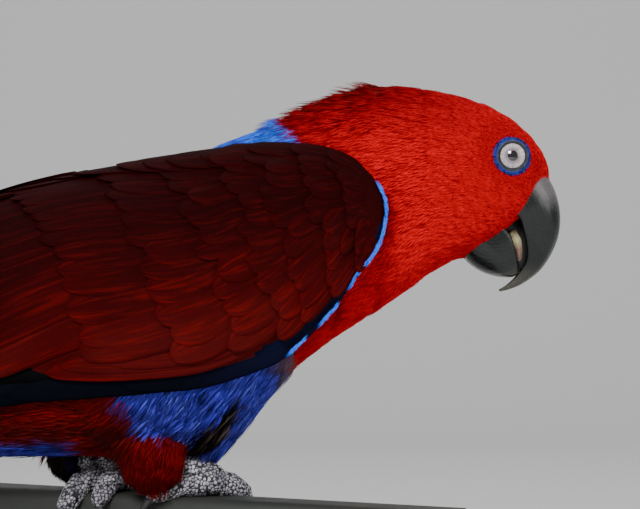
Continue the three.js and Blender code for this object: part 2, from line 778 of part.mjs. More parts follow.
// Stand
function standBase() {
  const { length, width, thick, corner, bevel } = baseSize;
  const [x, y] = [length / 2 - corner, width / 2 - corner];
  const outline = new THREE.Shape();
  for (const [i, [right, up]] of [[1, 1], [-1, 1], [-1, -1], [1, -1]].entries()) {
    outline.absarc(right * x, up * y, corner - bevel, (i * Math.PI) / 2, ((i + 1) * Math.PI) / 2);
  }
  const plate = new THREE.ExtrudeGeometry(outline, {
    depth: thick - 2 * bevel,
    bevelSize: bevel,
    bevelThickness: bevel,
    bevelSegments: 1,
    curveSegments: 4,
  });
  return solidFrom(plate, new THREE.Matrix4().setPosition(0, 0, bevel - railTop));
}

function standRod(sign) {
  const rod = new THREE.CylinderGeometry(rodRadius, rodRadius, rodLength - 2 * gap, 20);
  const matrix = new THREE.Matrix4().makeRotationX(Math.PI / 2);
  const foot = railDirection.clone().multiplyScalar(sign * rodAlong);
  return solidFrom(rod, matrix.setPosition(foot.x, foot.y, -2 * railHalf - rodLength / 2));
}

// The figure
const figure = new THREE.Group();
figure.position.z = railTop;

function add(name, solid, [colour, roughness, metalness]) {
  const mesh = solid.getMesh();
  const stride = mesh.numProp;
  const places = new Float32Array(mesh.numVert * 3);
  for (let i = 0; i < mesh.numVert; i += 1) {
    places.set(mesh.vertProperties.subarray(i * stride, i * stride + 3), i * 3);
  }
  const geometry = new THREE.BufferGeometry();
  geometry.setAttribute("position", new THREE.BufferAttribute(places, 3));
  geometry.setIndex(new THREE.BufferAttribute(mesh.triVerts, 1));
  geometry.computeVertexNormals();
  const piece = new THREE.Mesh(geometry, new THREE.MeshStandardMaterial({ color: colour, roughness, metalness }));
  piece.name = name;
  figure.add(piece);
}

const body = wholeBody();
const bodyGrown = wholeBody(gap);
const railGrown = rail(gap);

add("head", head(body), finish.redHead);
add("neck", bodyBetween(body, neckCut, headCut), finish.redHead);
const torso = bodyBetween(body, tailCut, neckCut);
add("torso", torso, finish.blueBelly);
add("tail", tail(body), finish.redTail);

const tongueGrown = tongue(gap);
const lower = clearOf(bill(lowerBill, lowerSection), bodyGrown);
const upper = clearOf(bill(upperBill, upperSection), bodyGrown, tongueGrown);
add("bill_upper", upper, finish.blackBill);
add("bill_lower", clearOf(lower, tongueGrown), finish.blackBill);
add("tongue", clearOf(tongue(), bodyGrown), finish.paleTongue);

for (const [name, foot] of Object.entries(feet)) {
  add("wing_" + name, wing(foot.side, bodyGrown), finish.maroonWing);
  add("eye_" + name, eyeBall(foot.side), finish.paleIris);
  const shankGrown = shank(foot, gap);
  const toesGrown = foot.toes.map((spec) => toe(spec, gap));
  const clawsGrown = foot.toes.map((spec) => claw(spec, gap));
  const legGrown = fuse([shankGrown, railGrown, ...toesGrown, ...clawsGrown]);
  add("thigh_" + name, clearOf(thigh(foot), bodyGrown, legGrown), finish.redThigh);
  add("foot_" + name, clearOf(shank(foot), bodyGrown, railGrown), finish.greySkin);
  foot.toes.forEach((spec, i) => {
    const made = clearOf(toe(spec), shankGrown, railGrown, ...toesGrown.slice(0, i));
    add("toe_" + name + "_" + (i + 1), made, finish.greySkin);
    add("claw_" + name + "_" + (i + 1), clearOf(claw(spec), toesGrown[i], railGrown), finish.darkClaw);
  });
}

add("perch_rail", rail(), finish.darkRail);
add("stand_base", standBase(), finish.standWood);
add("stand_rod_front", standRod(1), finish.standSteel);
add("stand_rod_rear", standRod(-1), finish.standSteel);

export default figure;
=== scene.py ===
import math
import random
import bpy
import bmesh
import numpy as np
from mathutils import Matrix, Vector


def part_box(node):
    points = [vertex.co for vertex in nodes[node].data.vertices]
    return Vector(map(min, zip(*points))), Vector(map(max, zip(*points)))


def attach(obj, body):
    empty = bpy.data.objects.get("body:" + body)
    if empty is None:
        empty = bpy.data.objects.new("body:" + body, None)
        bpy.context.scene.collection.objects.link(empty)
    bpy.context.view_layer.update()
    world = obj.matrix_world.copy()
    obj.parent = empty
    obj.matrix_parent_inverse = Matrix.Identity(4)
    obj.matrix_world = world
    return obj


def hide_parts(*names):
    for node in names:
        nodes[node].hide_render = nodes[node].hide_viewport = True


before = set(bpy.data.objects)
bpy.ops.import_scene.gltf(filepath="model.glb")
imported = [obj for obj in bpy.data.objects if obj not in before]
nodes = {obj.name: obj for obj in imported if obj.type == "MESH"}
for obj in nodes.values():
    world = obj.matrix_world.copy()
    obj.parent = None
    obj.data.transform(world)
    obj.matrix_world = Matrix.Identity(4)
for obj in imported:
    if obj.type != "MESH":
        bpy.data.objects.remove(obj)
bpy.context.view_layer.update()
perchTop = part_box("perch_rail")[1].z  # the bird's own heights are counted from here
mm = 0.001
sides = (("right", -1), ("left", 1))


# Small helpers
def at(x, y, z):
    return Vector((x * mm, y * mm, z * mm + perchTop))


def curve(keys):  # smooth line through (position, value) pairs, level past its ends
    places = np.array([key[0] for key in keys], float)
    values = np.array([key[1] for key in keys], float)
    slopes = np.empty_like(values)
    slopes[1:-1] = (values[2:] - values[:-2]) / (places[2:] - places[:-2])
    slopes[0] = (values[1] - values[0]) / (places[1] - places[0])
    slopes[-1] = (values[-1] - values[-2]) / (places[-1] - places[-2])

    def value(where):
        where = np.asarray(where, float)
        i = np.clip(np.searchsorted(places, where, side="right") - 1, 0, len(places) - 2)
        span = places[i + 1] - places[i]
        t = np.clip((where - places[i]) / span, 0, 1)
        rise = t * t * (3 - 2 * t)
        bend = span * (slopes[i] * t * (1 - t) ** 2 + slopes[i + 1] * t * t * (t - 1))
        return values[i] + (values[i + 1] - values[i]) * rise + bend

    return value


def curves(rows):  # one curve for each column, along the rows' numbers
    return [curve([(i, row[c]) for i, row in enumerate(rows)]) for c in range(len(rows[0]))]


def smoothStep(low, high, value):
    t = np.clip((value - low) / (high - low), 0, 1)
    return t * t * (3 - 2 * t)


def turns(count):
    return [2 * math.pi * k / count for k in range(count)]


def newObject(name, mesh):
    obj = bpy.data.objects.new(name, mesh)
    bpy.context.scene.collection.objects.link(obj)
    return obj


def meshObject(name, points, faces):
    mesh = bpy.data.meshes.new(name)
    mesh.from_pydata([tuple(p) for p in points], [], [tuple(f) for f in faces])
    mesh.update()
    mesh.shade_smooth()
    return newObject(name, mesh)


def giveAttribute(mesh, name, values):  # a number or a vector for each point
    values = np.asarray(values, np.float32)
    kind, key = ("FLOAT", "value") if values.ndim == 1 else ("FLOAT_VECTOR", "vector")
    mesh.attributes.new(name, kind, "POINT").data.foreach_set(key, values.ravel())


def vectors(items, key):
    flat = np.empty(len(items) * 3, np.float32)
    items.foreach_get(key, flat)
    return flat.reshape(-1, 3).astype(float)


def meshPoints(mesh):
    return vectors(mesh.vertices, "co")


def meshNormals(mesh):
    return vectors(mesh.vertex_normals, "vector")


def giveUv(mesh, perPoint, name="OFBake"):
    corner = np.empty(len(mesh.loops), np.int32)
    mesh.loops.foreach_get("vertex_index", corner)
    layer = mesh.uv_layers.new(name=name)
    layer.data.foreach_set("uv", np.asarray(perPoint, np.float32)[corner].ravel())


def giveMap(mesh, spots):  # the piece's own map, also given to the roots of its tufts
    giveUv(mesh, spots)
    giveAttribute(mesh, "rootMap", np.column_stack([spots, np.zeros(len(spots))]))


def setMaterial(obj, material):
    obj.data.materials.clear()
    obj.data.materials.append(material)


def flatten(obj):  # the modifiers' result as a plain mesh
    graph = bpy.context.evaluated_depsgraph_get()
    graph.update()
    mesh = bpy.data.meshes.new_from_object(
        obj.evaluated_get(graph), preserve_all_data_layers=True, depsgraph=graph)
    obj.modifiers.clear()
    obj.data = mesh
    mesh.name = obj.name
    return obj


def modifier(obj, kind, **settings):
    added = obj.modifiers.new(kind.lower(), kind)
    for key, value in settings.items():
        setattr(added, key, value)
    return added


def joined(name, objects):
    whole = bmesh.new()
    for obj in objects:
        part = obj.data.copy()
        part.transform(obj.matrix_world)
        whole.from_mesh(part)
        bpy.data.meshes.remove(part)
    bmesh.ops.remove_doubles(whole, verts=whole.verts, dist=1e-6)
    mesh = bpy.data.meshes.new(name)
    whole.to_mesh(mesh)
    whole.free()
    return newObject(name, mesh)


def outward(obj):
    work = bmesh.new()
    work.from_mesh(obj.data)
    bmesh.ops.remove_doubles(work, verts=work.verts, dist=1e-7)
    bmesh.ops.recalc_face_normals(work, faces=work.faces)
    work.to_mesh(obj.data)
    work.free()
    return obj


def ringObject(name, rings, closeEnds=True):  # a closed skin through rings of points
    around = len(rings[0])
    points = [p for ring in rings for p in ring]
    faces = []
    for r in range(len(rings) - 1):
        for k in range(around):
            k2 = (k + 1) % around
            faces.append((r * around + k, r * around + k2, (r + 1) * around + k2, (r + 1) * around + k))
    if closeEnds:
        for r, turn in ((0, 1), (len(rings) - 1, -1)):
            points.append(sum((Vector(p) for p in rings[r]), Vector()) / around)
            for k in range(around):
                pair = (r * around + (k + 1) % around, r * around + k)[::turn]
                faces.append((len(points) - 1, *pair))
    return outward(meshObject(name, points, faces))


# Node trees written as sums
class Val:
    def __init__(self, net, socket):
        self.net, self.socket = net, socket

    def __add__(self, other):
        return self.net.math("ADD", self, other)

    def __sub__(self, other):
        return self.net.math("SUBTRACT", self, other)

    def __rsub__(self, other):
        return self.net.math("SUBTRACT", other, self)

    def __mul__(self, other):
        return self.net.math("MULTIPLY", self, other)

    def __truediv__(self, other):
        return self.net.math("DIVIDE", self, other)

    def __pow__(self, other):
        return self.net.math("POWER", self, other)

    __radd__ = __add__
    __rmul__ = __mul__


class Net:
    def __init__(self, tree):
        self.tree = tree

    def node(self, kind, settings=None, sockets=None):
        made = self.tree.nodes.new(kind)
        for key, value in (settings or {}).items():
            setattr(made, key, value)
        for key, value in (sockets or {}).items():
            self.put(self.find(made.inputs, key), value)
        return made

    def put(self, socket, value):
        if isinstance(value, Val):
            self.tree.links.new(value.socket, socket)
        else:
            socket.default_value = value

    def find(self, sockets, key):
        if isinstance(key, int):
            return sockets[key]
        for socket in sockets:
            if socket.identifier == key:
                return socket
        return sockets[key]

    def get(self, kind, settings=None, sockets=None, out=0):
        made = self.node(kind, settings, sockets)
        return Val(self, self.find(made.outputs, out))

    def math(self, operation, *values):
        return self.get("ShaderNodeMath", {"operation": operation}, dict(enumerate(values)))

    def vector(self, operation, *values, **sockets):
        sockets.update(enumerate(values))
        return self.get("ShaderNodeVectorMath", {"operation": operation}, sockets)

    def step(self, value, low, high):  # 0 below low, 1 above high, smooth between
        settings = {"interpolation_type": "SMOOTHSTEP"}
        sockets = {"Value": value, "From Min": low, "From Max": high}
        return self.get("ShaderNodeMapRange", settings, sockets)

    def line(self, value, low, high, toLow, toHigh):
        sockets = {"Value": value, "From Min": low, "From Max": high, "To Min": toLow, "To Max": toHigh}
        return self.get("ShaderNodeMapRange", {}, sockets)

    def split(self, vector):
        made = self.node("ShaderNodeSeparateXYZ", None, {0: vector})
        return [Val(self, made.outputs[i]) for i in range(3)]

    def join(self, x, y, z):
        return self.get("ShaderNodeCombineXYZ", None, {0: x, 1: y, 2: z})

    def colour(self, factor, a, b, blend="MIX"):
        settings = {"data_type": "RGBA", "blend_type": blend}
        return self.get("ShaderNodeMix", settings, {"Factor_Float": factor, "A_Color": a, "B_Color": b},
                        "Result_Color")

    def shaded(self, colour, shade):
        grey = self.get("ShaderNodeCombineColor", None, {0: shade, 1: shade, 2: shade})
        return self.colour(1.0, colour, grey, "MULTIPLY")

    def noise(self, vector, scale, detail=2.0, rough=0.5):
        sockets = {"Vector": vector, "Scale": scale, "Detail": detail, "Roughness": rough}
        return self.get("ShaderNodeTexNoise", {}, sockets)

    def birdPlace(self, place):  # millimetres in the bird's own frame
        x, y, z = self.split(place)
        return x * 1000, y * 1000, (z - perchTop) * 1000

    def aroundEye(self, x, z):
        x, z = x - eye["x"], z - eye["z"]
        return x, z, self.math("SQRT", x * x + z * z)


class Paint(Net):  # the tree of a new material
    inputs = {"colour": "Base Color", "rough": "Roughness", "metal": "Metallic", "coat": "Coat Weight",
              "coatRough": "Coat Roughness", "normal": "Normal", "specular": "Specular IOR Level",
              "scatter": "Subsurface Weight", "scatterScale": "Subsurface Scale", "ior": "IOR"}

    def __init__(self, name):
        self.material = bpy.data.materials.new(name)
        self.material.use_nodes = True
        super().__init__(self.material.node_tree)
        self.here = self.get("ShaderNodeTexCoord", None, None, "Object")
        self.shader = self.tree.nodes["Principled BSDF"]

    def grain(self, scale, detail=2.0, rough=0.5):
        return self.noise(self.here, scale, detail, rough)

    def stretched(self, *scale):
        return self.get("ShaderNodeMapping", None, {"Vector": self.here, "Scale": scale})

    def attribute(self, name, out="Fac"):
        return self.get("ShaderNodeAttribute", {"attribute_name": name}, None, out)

    def bump(self, height, depth, strength):
        sockets = {"Height": height, "Distance": depth, "Strength": strength}
        return self.get("ShaderNodeBump", {}, sockets, "Normal")

    def finish(self, **values):
        for key, value in values.items():
            self.put(self.shader.inputs[self.inputs[key]], value)
        return self.material


def rgb(red, green, blue):  # screen colour from 0 to 255 as a linear one
    def linear(c):
        c /= 255
        return c / 12.92 if c <= 0.04045 else ((c + 0.055) / 1.055) ** 2.4
    return (linear(red), linear(green), linear(blue), 1.0)


# Plumage colours
tones = {
    "red": rgb(202, 0, 20), "deepRed": rgb(164, 0, 12), "napeRed": rgb(96, 0, 3), "ventRed": rgb(74, 3, 3),
    "thighRed": rgb(116, 5, 4), "blue": rgb(64, 62, 196), "brightBlue": rgb(104, 112, 234),
    "deepBlue": rgb(20, 24, 86), "skyBlue": rgb(50, 122, 255), "ringDark": rgb(14, 16, 52),
    "ringBlue": rgb(58, 80, 190), "black": rgb(5, 5, 7), "down": rgb(92, 76, 66),
    "darkDown": rgb(46, 26, 18), "navy": rgb(5, 6, 16), "bandBlue": rgb(11, 13, 36),
    "wingTop": rgb(34, 1, 2), "maroon": rgb(62, 2, 3), "wingLow": rgb(76, 12, 12),
    "wingStreak": rgb(112, 13, 13), "tailRed": rgb(92, 3, 3), "tailTip": rgb(150, 26, 6),
}
eye = {"x": 123.8, "z": 115.6, "ball": 6.1, "centre": 12.4, "iris": 4.45, "pupil": 1.75, "lid": 4.9,
       "rim": 0.62, "rimOut": 3.9, "ring": 6.3}
collar = {"x": 50.0, "z": 41.0, "lean": 0.075, "top": 121.0, "back": 1.2}  # where the red of the head ends


def plumage(net, place):  # colour by the place of each feather's root, in the bird's own millimetres
    x, y, z = net.birdPlace(place)
    drift = (net.noise(place, 150.0, 3.0) - 0.5) * 4
    side = net.math("ABSOLUTE", y)
    cloud = net.noise(place, 60.0, 2.0)
    # the red is deeper towards the neck and darker at the top of the back of the head: partly the plumage's
    # own tone, partly painted shade
    redTone = net.colour(net.step(x + (cloud - 0.5) * 30, 46, 78), tones["deepRed"], tones["red"])
    high = net.step(z - side * 0.3 + (cloud - 0.5) * 12, 112, 136)
    redTone = net.colour(high * net.step(x, 132, 76) * 0.85, redTone, tones["napeRed"])
    streak = net.noise(place, 520.0, 2.0)
    blueTone = net.colour(net.step(streak, 0.3, 0.5), tones["deepBlue"], tones["blue"])
    blueTone = net.colour(net.step(streak, 0.5, 0.7), blueTone, tones["brightBlue"])
    mantleTone = net.colour(net.step(streak, 0.34, 0.56), tones["blue"], tones["skyBlue"])
    blueTone = net.colour(net.step(z, 90, 100), blueTone, mantleTone)
    vent = net.colour(net.step(cloud + (streak - 0.5) * 0.5, 0.4, 0.6), tones["ventRed"], tones["thighRed"])
    vent = net.colour(net.step(z, 24, 17) * net.step(x, -14, -8), vent, tones["thighRed"])
    underBlue = net.step(z + drift * 0.6, 19.5, 17.5) * net.step(x + drift * 2, -17, -21)
    underBlue = underBlue * net.step(x + drift * 3, -66, -56)
    vent = net.colour(underBlue, vent,
                      net.colour(net.step(streak, 0.35, 0.65), tones["deepBlue"], tones["blue"]))
    farTuft = net.step(z, 21, 18) * net.step(y, 8, 11) * net.step(net.math("ABSOLUTE", x + 28), 16, 13)
    vent = net.colour(farTuft, vent,
                      net.colour(net.step(streak, 0.4, 0.6), tones["black"], tones["darkDown"]))
    belly = net.step(x + drift + (z - 41) * 0.55, -5.5, -3.5)
    belly = belly * (1 - net.step(z + drift, 25, 20) * net.step(x, 18, 15) * net.step(side, 5, 8))
    belly = net.math("MAXIMUM", belly, net.step(z, 88, 96) * net.step(x, 6, 14))
    lower = net.colour(belly, vent, blueTone)
    edge = x + drift * 0.8 - (z - collar["z"]) * collar["lean"]
    edge = edge + net.math("MAXIMUM", z - collar["top"], 0.0) * collar["back"]
    split = net.step(net.math("ABSOLUTE", edge - 49.5), 3.0, 1.6) * net.step(z, 62, 54)
    wedge = net.math("ABSOLUTE", x - 24 - (z - 22) * 0.72) - net.step(z, 38, 18) * 1.6
    wedge = net.step(wedge + drift * 0.3, 2.8, 1.8) * net.step(z, 42, 37) * net.step(side, 5, 8)
    wedgeTone = net.colour(net.step(streak, 0.5, 0.64), tones["black"], tones["down"])
    base = net.colour(net.step(edge, 49.5, 51.5), lower, redTone)
    base = net.colour(split * 0.8, base, tones["down"])
    base = net.colour(wedge, base, wedgeTone)
    away = net.aroundEye(x, z)[2]
    ringed = net.step(away, eye["ring"], eye["ring"] - 0.05) * net.step(side, 9, 11)
    ringTone = net.step(net.noise(place, 1700.0, 2.0), 0.36, 0.6)
    ringTone = net.colour(ringTone, tones["ringDark"], tones["ringBlue"])
    return net.colour(ringed, base, ringTone)


def strandMaterial(name, rough, dark, dull):
    net = Paint(name)
    shade = net.line(net.attribute("pick"), 0, 1, dull, 1.08)
    # each blade is darker towards its root: painted shade among the tufts
    shade = shade * net.line(net.attribute("bladeAlong"), 0.0, 0.55, dark, 1.0)
    colour = net.shaded(plumage(net, net.attribute("rootPlace", "Vector")), shade)
    return net.finish(colour=colour, rough=rough, specular=0.2, ior=1.25)


def skinMaterial():
    net = Paint("downySkin")
    colour = net.shaded(plumage(net, net.here), net.line(net.grain(1500.0), 0.3, 0.7, 0.4, 0.8))
    return net.finish(colour=colour, rough=0.85, specular=0.1, ior=1.2,
                      normal=net.bump(net.grain(2400.0), 0.0006, 0.6))


# Body skin: copies of the flesh nodes, run together and sunk by the coat's depth
lids = {"level": 16.0, "forward": 0.36, "up": 0.22}  # how far out they lie at the eye, and their slant
eyeSocket = {"rings": ((-9, 5), (-3, 7.5), (-0.8, 7.5), (0, 6.2)), "rise": (11.5, 6.8), "sink": (6.3, 5.2),
             "deep": 3.2}
skinSizes = {"swell": 0.35 * mm, "voxel": 1.25 * mm, "sink": 1.7 * mm, "smooth": 8}
rump = [(-60, 86, 12, 29), (-80, 67.5, 11, 21.5), (-100, 44, 11.8, 15.5), (-119, 28, 15, 9)]


def rumpCopy():
    top, low, half = (curve([(-cut[0], cut[n]) for cut in rump]) for n in (1, 2, 3))
    rings = []
    for back in np.linspace(-rump[0][0], -rump[-1][0], 14):
        middle, rise = (top(back) + low(back)) / 2, (top(back) - low(back)) / 2
        rings.append([at(-back, half(back) * math.cos(a), middle + rise * math.sin(a)) for a in turns(40)])
    return ringObject("rumpCopy", rings)


def spineOf(points):
    line = np.array([(134, 104), (112, 108), (90, 102), (62, 90), (34, 76), (0, 61), (-40, 54), (-80, 40),
                     (-119, 21)], float)
    lengths = np.concatenate([[0], np.cumsum(np.linalg.norm(np.diff(line, axis=0), axis=1))])
    flat = np.column_stack([points[:, 0], points[:, 2] - perchTop]) / mm
    best = np.full(len(flat), 1e9)
    where = np.zeros(len(flat))
    lead = np.zeros((len(flat), 2))
    for a, b, start in zip(line[:-1], line[1:], lengths[:-1]):
        step = b - a
        t = np.clip(((flat - a) @ step) / (step @ step), 0, 1)
        gap = np.linalg.norm(flat - a - t[:, None] * step, axis=1)
        nearer = gap < best
        best[nearer] = gap[nearer]
        where[nearer] = (start + t * np.linalg.norm(step))[nearer]
        lead[nearer] = step / np.linalg.norm(step)
    return where / lengths[-1], lead


def lidLevel(forward, up):
    return lids["level"] - lids["forward"] * forward - lids["up"] * up


def socketPlug(side):  # fills the eye's socket, so that the skin runs on under the lids
    rings = []
    sink = skinSizes["sink"] / mm
    for deep, wide in eyeSocket["rings"]:
        spots = [(wide * math.cos(a), wide * math.sin(a)) for a in turns(40)]
        rings.append([at(eye["x"] + forward, side * (lidLevel(forward, up) + sink + deep), eye["z"] + up)
                      for forward, up in spots])
    return ringObject("socketPlug", rings)


def makeSkin():
    copies = []
    for name in ("head", "neck", "torso", "thigh_right", "thigh_left"):
        copy = joined("copy_" + name, [nodes[name]])
        modifier(copy, "DISPLACE", strength=skinSizes["swell"], mid_level=0)
        copies.append(flatten(copy))
    copies.append(rumpCopy())
    copies += [socketPlug(-1), socketPlug(1)]
    skin = joined("bodySkin", copies)
    for copy in copies:
        bpy.data.objects.remove(copy)
    modifier(skin, "REMESH", mode="VOXEL", voxel_size=skinSizes["voxel"])
    modifier(skin, "SMOOTH", factor=0.5, iterations=skinSizes["smooth"])
    modifier(skin, "DISPLACE", strength=-skinSizes["sink"] - skinSizes["swell"], mid_level=0)
    modifier(skin, "SMOOTH", factor=0.5, iterations=3)
    flatten(skin)
    brow(skin.data)
    skin.data.shade_smooth()
    return skin


def brow(mesh):  # the face swells out to meet the lids and sinks under them
    points = meshPoints(mesh)
    forward, up = points[:, 0] / mm - eye["x"], (points[:, 2] - perchTop) / mm - eye["z"]
    gap = np.hypot(forward, up)
    side = np.abs(points[:, 1]) / mm
    head = smoothStep(2, 6, side)  # nothing moves near the middle of the head
    rise = np.maximum(lidLevel(forward, up) - side, 0) * smoothStep(*eyeSocket["rise"], gap) * head
    sink = eyeSocket["deep"] * smoothStep(*eyeSocket["sink"], gap) * head
    points[:, 1] += np.sign(points[:, 1]) * (rise - sink) * mm
    mesh.vertices.foreach_set("co", points.ravel())
    mesh.update()


def alongSkin(lie, normals):
    lie = lie - normals * np.sum(lie * normals, axis=1)[:, None]
    return lie / np.maximum(np.linalg.norm(lie, axis=1), 1e-6)[:, None]


# How the feathers lie, how long they are and where each kind grows
def mapSkin(skin):
    mesh = skin.data
    points, normals = meshPoints(mesh), meshNormals(mesh)
    where, lead = spineOf(points)
    x, y, z = points[:, 0] / mm, points[:, 1] / mm, (points[:, 2] - perchTop) / mm
    side = np.abs(y)
    lie = np.column_stack([lead[:, 0], np.zeros(len(x)), lead[:, 1]])
    throat = smoothStep(60, 100, x) * smoothStep(105, 80, z)
    flank = smoothStep(60, 30, x) * smoothStep(-20, 0, x) * smoothStep(60, 40, z)
    nearThigh = smoothStep(24, 16, z) * (np.abs(x - 3.5) < 14) * (y < 0)
    farThigh = smoothStep(22, 14, z) * (np.abs(x + 27) < 14) * (y > 0)
    thigh = np.maximum(nearThigh, farThigh) * smoothStep(8, 12, side)
    lie[:, 2] -= 0.25 * throat
    lie[:, 2] -= 1.1 * flank
    lie[:, 2] -= 2.5 * thigh
    lie[:, 1] -= 0.3 * np.sign(y) * thigh
    fromEye = np.column_stack([x - eye["x"], z - eye["z"]])
    eyeGap = np.linalg.norm(fromEye, axis=1)
    ringed = smoothStep(12, 6.5, eyeGap) * (side > 8)
    for axis, away in ((0, fromEye[:, 0]), (2, fromEye[:, 1])):
        lie[:, axis] += 0.8 * ringed * away / np.maximum(eyeGap, 1)
    giveAttribute(mesh, "lie", alongSkin(lie, normals))
    size = 1 - 0.45 * smoothStep(92, 132, x)
    size *= 1 - 0.5 * smoothStep(15, 6.5, eyeGap) * (side > 8)
    size *= 1 - 0.4 * smoothStep(13, 4, z) * thigh
    giveAttribute(mesh, "tuftSize", size)
    bare = (eyeGap < 6.7) & (side > 8)
    inMouth = (x > 109) & (z < 97) & (x + 0.9 * (97 - z) > 124.5) & (side < 8)
    underWing = (x < 70) & (z < 112 + 0.1 * x) & (z > 44 + 0.35 * np.maximum(x - 20, 0)) & (side > 14)
    underTail = (x < -62) & (z > 30)
    open_ = ~(bare | inMouth | underWing | underTail | (x < -6) & (z > 80))
    front = collar["x"] + (z - collar["z"]) * collar["lean"]
    front = front - np.maximum(z - collar["top"], 0) * collar["back"]
    cheek = z < 106 + (x - 97) * 0.2
    masks = {
        "crownCoat": (x >= 97) & ~cheek & open_,
        "cheekCoat": (x >= 97) & cheek & open_,
        "napeCoat": (x < 97) & (x >= front - 1.5) & (z >= 96) & open_,
        "breastCoat": (x < 97) & (x >= front - 1.5) & (z < 96) & open_,
        "mantleCoat": (x < front + 1.5) & (z > 96) & (x > -6) & open_,
        "bellyCoat": (x < front + 2) & (z <= 60) & (x > -12) & (thigh < 0.3) & open_,
        "ventCoat": (x <= -10) & (thigh < 0.3) & (z < 60) & open_,
        "frayCoat": (x > 44) & (x < 84) & (z > 124) & (side < 26) & open_,
        "thighCoat": (thigh >= 0.3) & open_,
    }
    for name, mask in masks.items():
        giveAttribute(mesh, name, mask.astype(float))
    turn = np.arctan2(y, z - (95 + (x - 60) * 0.35)) / (2 * math.pi) + 0.5
    giveMap(mesh, np.column_stack([0.02 + 0.96 * where, 0.02 + 0.96 * turn]))


# Tufts: a few slender blades that leave one root
def tuftMesh(name, blades, width, spread, rise, seed):
    draw = random.Random(seed)
    points, faces, along, across = [], [], [], []
    for _ in range(blades):
        yaw = spread * (draw.random() - 0.5) * 2
        length = 0.72 + 0.28 * draw.random()
        shift = (draw.random() - 0.5) * 0.3
        high = rise * (0.4 + 0.9 * draw.random())
        bend = 0.42 + 0.16 * draw.random()
        half = width / 2 * (0.75 + 0.5 * draw.random())
        start = len(points)

        def put(t, side, lift, c):
            points.append((t * length * math.cos(yaw), shift + t * length * math.sin(yaw) + side, lift))
            along.append(t)
            across.append(c)

        put(0.0, 0.0, -0.04, 0.0)
        put(bend, -half, high, -0.8)
        put(bend, half, high, 0.8)
        put(bend, 0.0, high + width * 0.28, 0.0)
        put(1.0, 0.0, high * (0.9 - 0.5 * draw.random()), 0.0)
        root, left, right, ridge, tip = range(start, start + 5)
        for a, b in ((left, right), (right, ridge), (ridge, left)):
            faces.append((root, b, a))
            faces.append((tip, a, b))
    obj = outward(meshObject(name, points, faces))
    giveAttribute(obj.data, "bladeAlong", along)
    giveAttribute(obj.data, "bladeAcross", across)
    return obj


def newTree(name, inputs):  # a Geometry Nodes tree, and the sockets of its named inputs
    tree = bpy.data.node_groups.new(name, "GeometryNodeTree")
    for key, kind in inputs.items():
        tree.interface.new_socket(name=key, in_out="INPUT", socket_type="NodeSocket" + kind)
    tree.interface.new_socket(name="Made", in_out="OUTPUT", socket_type="NodeSocketGeometry")
    net = Net(tree)
    group = net.node("NodeGroupInput")
    return net, {socket.name: Val(net, socket) for socket in group.outputs if socket.name}


def closeTree(net, made, finish):
    made = net.get("GeometryNodeSetMaterial", None, {"Geometry": made, "Material": finish})
    net.node("NodeGroupOutput", None, {0: made})
    return net.tree


def runTree(obj, tree, values):
    added = obj.modifiers.new("made", "NODES")
    added.node_group = tree
    ids = {item.name: item.identifier for item in tree.interface.items_tree
           if item.item_type == "SOCKET" and item.in_out == "INPUT"}
    for name, value in values.items():
        added[ids[name]] = value
    return flatten(obj)


def namedValue(net, name, kind="FLOAT"):
    return net.get("GeometryNodeInputNamedAttribute", {"data_type": kind}, {"Name": name}, "Attribute")


def store(net, geometry, name, kind, value, domain="POINT"):
    return net.get("GeometryNodeStoreNamedAttribute", {"data_type": kind, "domain": domain},
                   {"Geometry": geometry, "Name": name, "Value": value})


def anyValue(net, seed, low=0.0, high=1.0):
    return net.get("FunctionNodeRandomValue", {"data_type": "FLOAT"},
                   {"Min_001": low, "Max_001": high, "Seed": seed}, "Value_001")


def anyVector(net, seed, size):
    vector = net.get("FunctionNodeRandomValue", {"data_type": "FLOAT_VECTOR"},
                     {"Min": (-1, -1, -1), "Max": (1, 1, 1), "Seed": seed})
    return net.vector("SCALE", vector, Scale=size)


def repeated(net, points, source, **sockets):  # an object's mesh on every point
    instance = net.get("GeometryNodeObjectInfo", None, {"Object": source}, "Geometry")
    sockets.update(Points=points, Instance=instance)
    made = net.get("GeometryNodeInstanceOnPoints", None, sockets)
    return net.get("GeometryNodeRealizeInstances", None, {"Geometry": made})


def tuftTree():
    net, given = newTree("featherTufts", {
        "Skin": "Geometry", "Tuft": "Object", "Where": "String", "Density": "Float", "Shortest": "Float",
        "Longest": "Float", "Stray": "Float", "Ruffle": "Float", "Patch": "Float", "Seed": "Int",
        "Finish": "Material"})
    spread = net.node("GeometryNodeDistributePointsOnFaces", {"distribute_method": "RANDOM"}, {
        "Mesh": given["Skin"], "Density": namedValue(net, given["Where"]) * given["Density"],
        "Seed": given["Seed"]})
    points, up = (Val(net, spread.outputs[key]) for key in ("Points", "Normal"))
    lie = net.vector("ADD", namedValue(net, "lie", "FLOAT_VECTOR"),
                     anyVector(net, given["Seed"], given["Stray"]))
    up = net.vector("ADD", up, anyVector(net, given["Seed"] + 7, given["Ruffle"]))
    facing = net.get("FunctionNodeAlignRotationToVector", {"axis": "Z"}, {"Vector": up})
    facing = net.get("FunctionNodeAlignRotationToVector", {"axis": "X", "pivot_axis": "Z"}, {
        "Rotation": facing, "Vector": lie})
    length = anyValue(net, given["Seed"] + 3, given["Shortest"], given["Longest"])
    length = length * namedValue(net, "tuftSize")
    points = store(net, points, "pick", "FLOAT", anyValue(net, given["Seed"] + 5))
    points = store(net, points, "rootPlace", "FLOAT_VECTOR", net.get("GeometryNodeInputPosition"))
    coat = repeated(net, points, given["Tuft"], Rotation=facing, Scale=net.join(length, length, length))
    inPatch = net.join((namedValue(net, "bladeAlong") - 0.5) * given["Patch"],
                       namedValue(net, "bladeAcross") * 0.5 * given["Patch"], 0.0)
    spot = net.vector("ADD", namedValue(net, "rootMap", "FLOAT_VECTOR"), inPatch)
    coat = store(net, coat, "OFBake", "FLOAT2", spot, "CORNER")
    return closeTree(net, coat, given["Finish"])


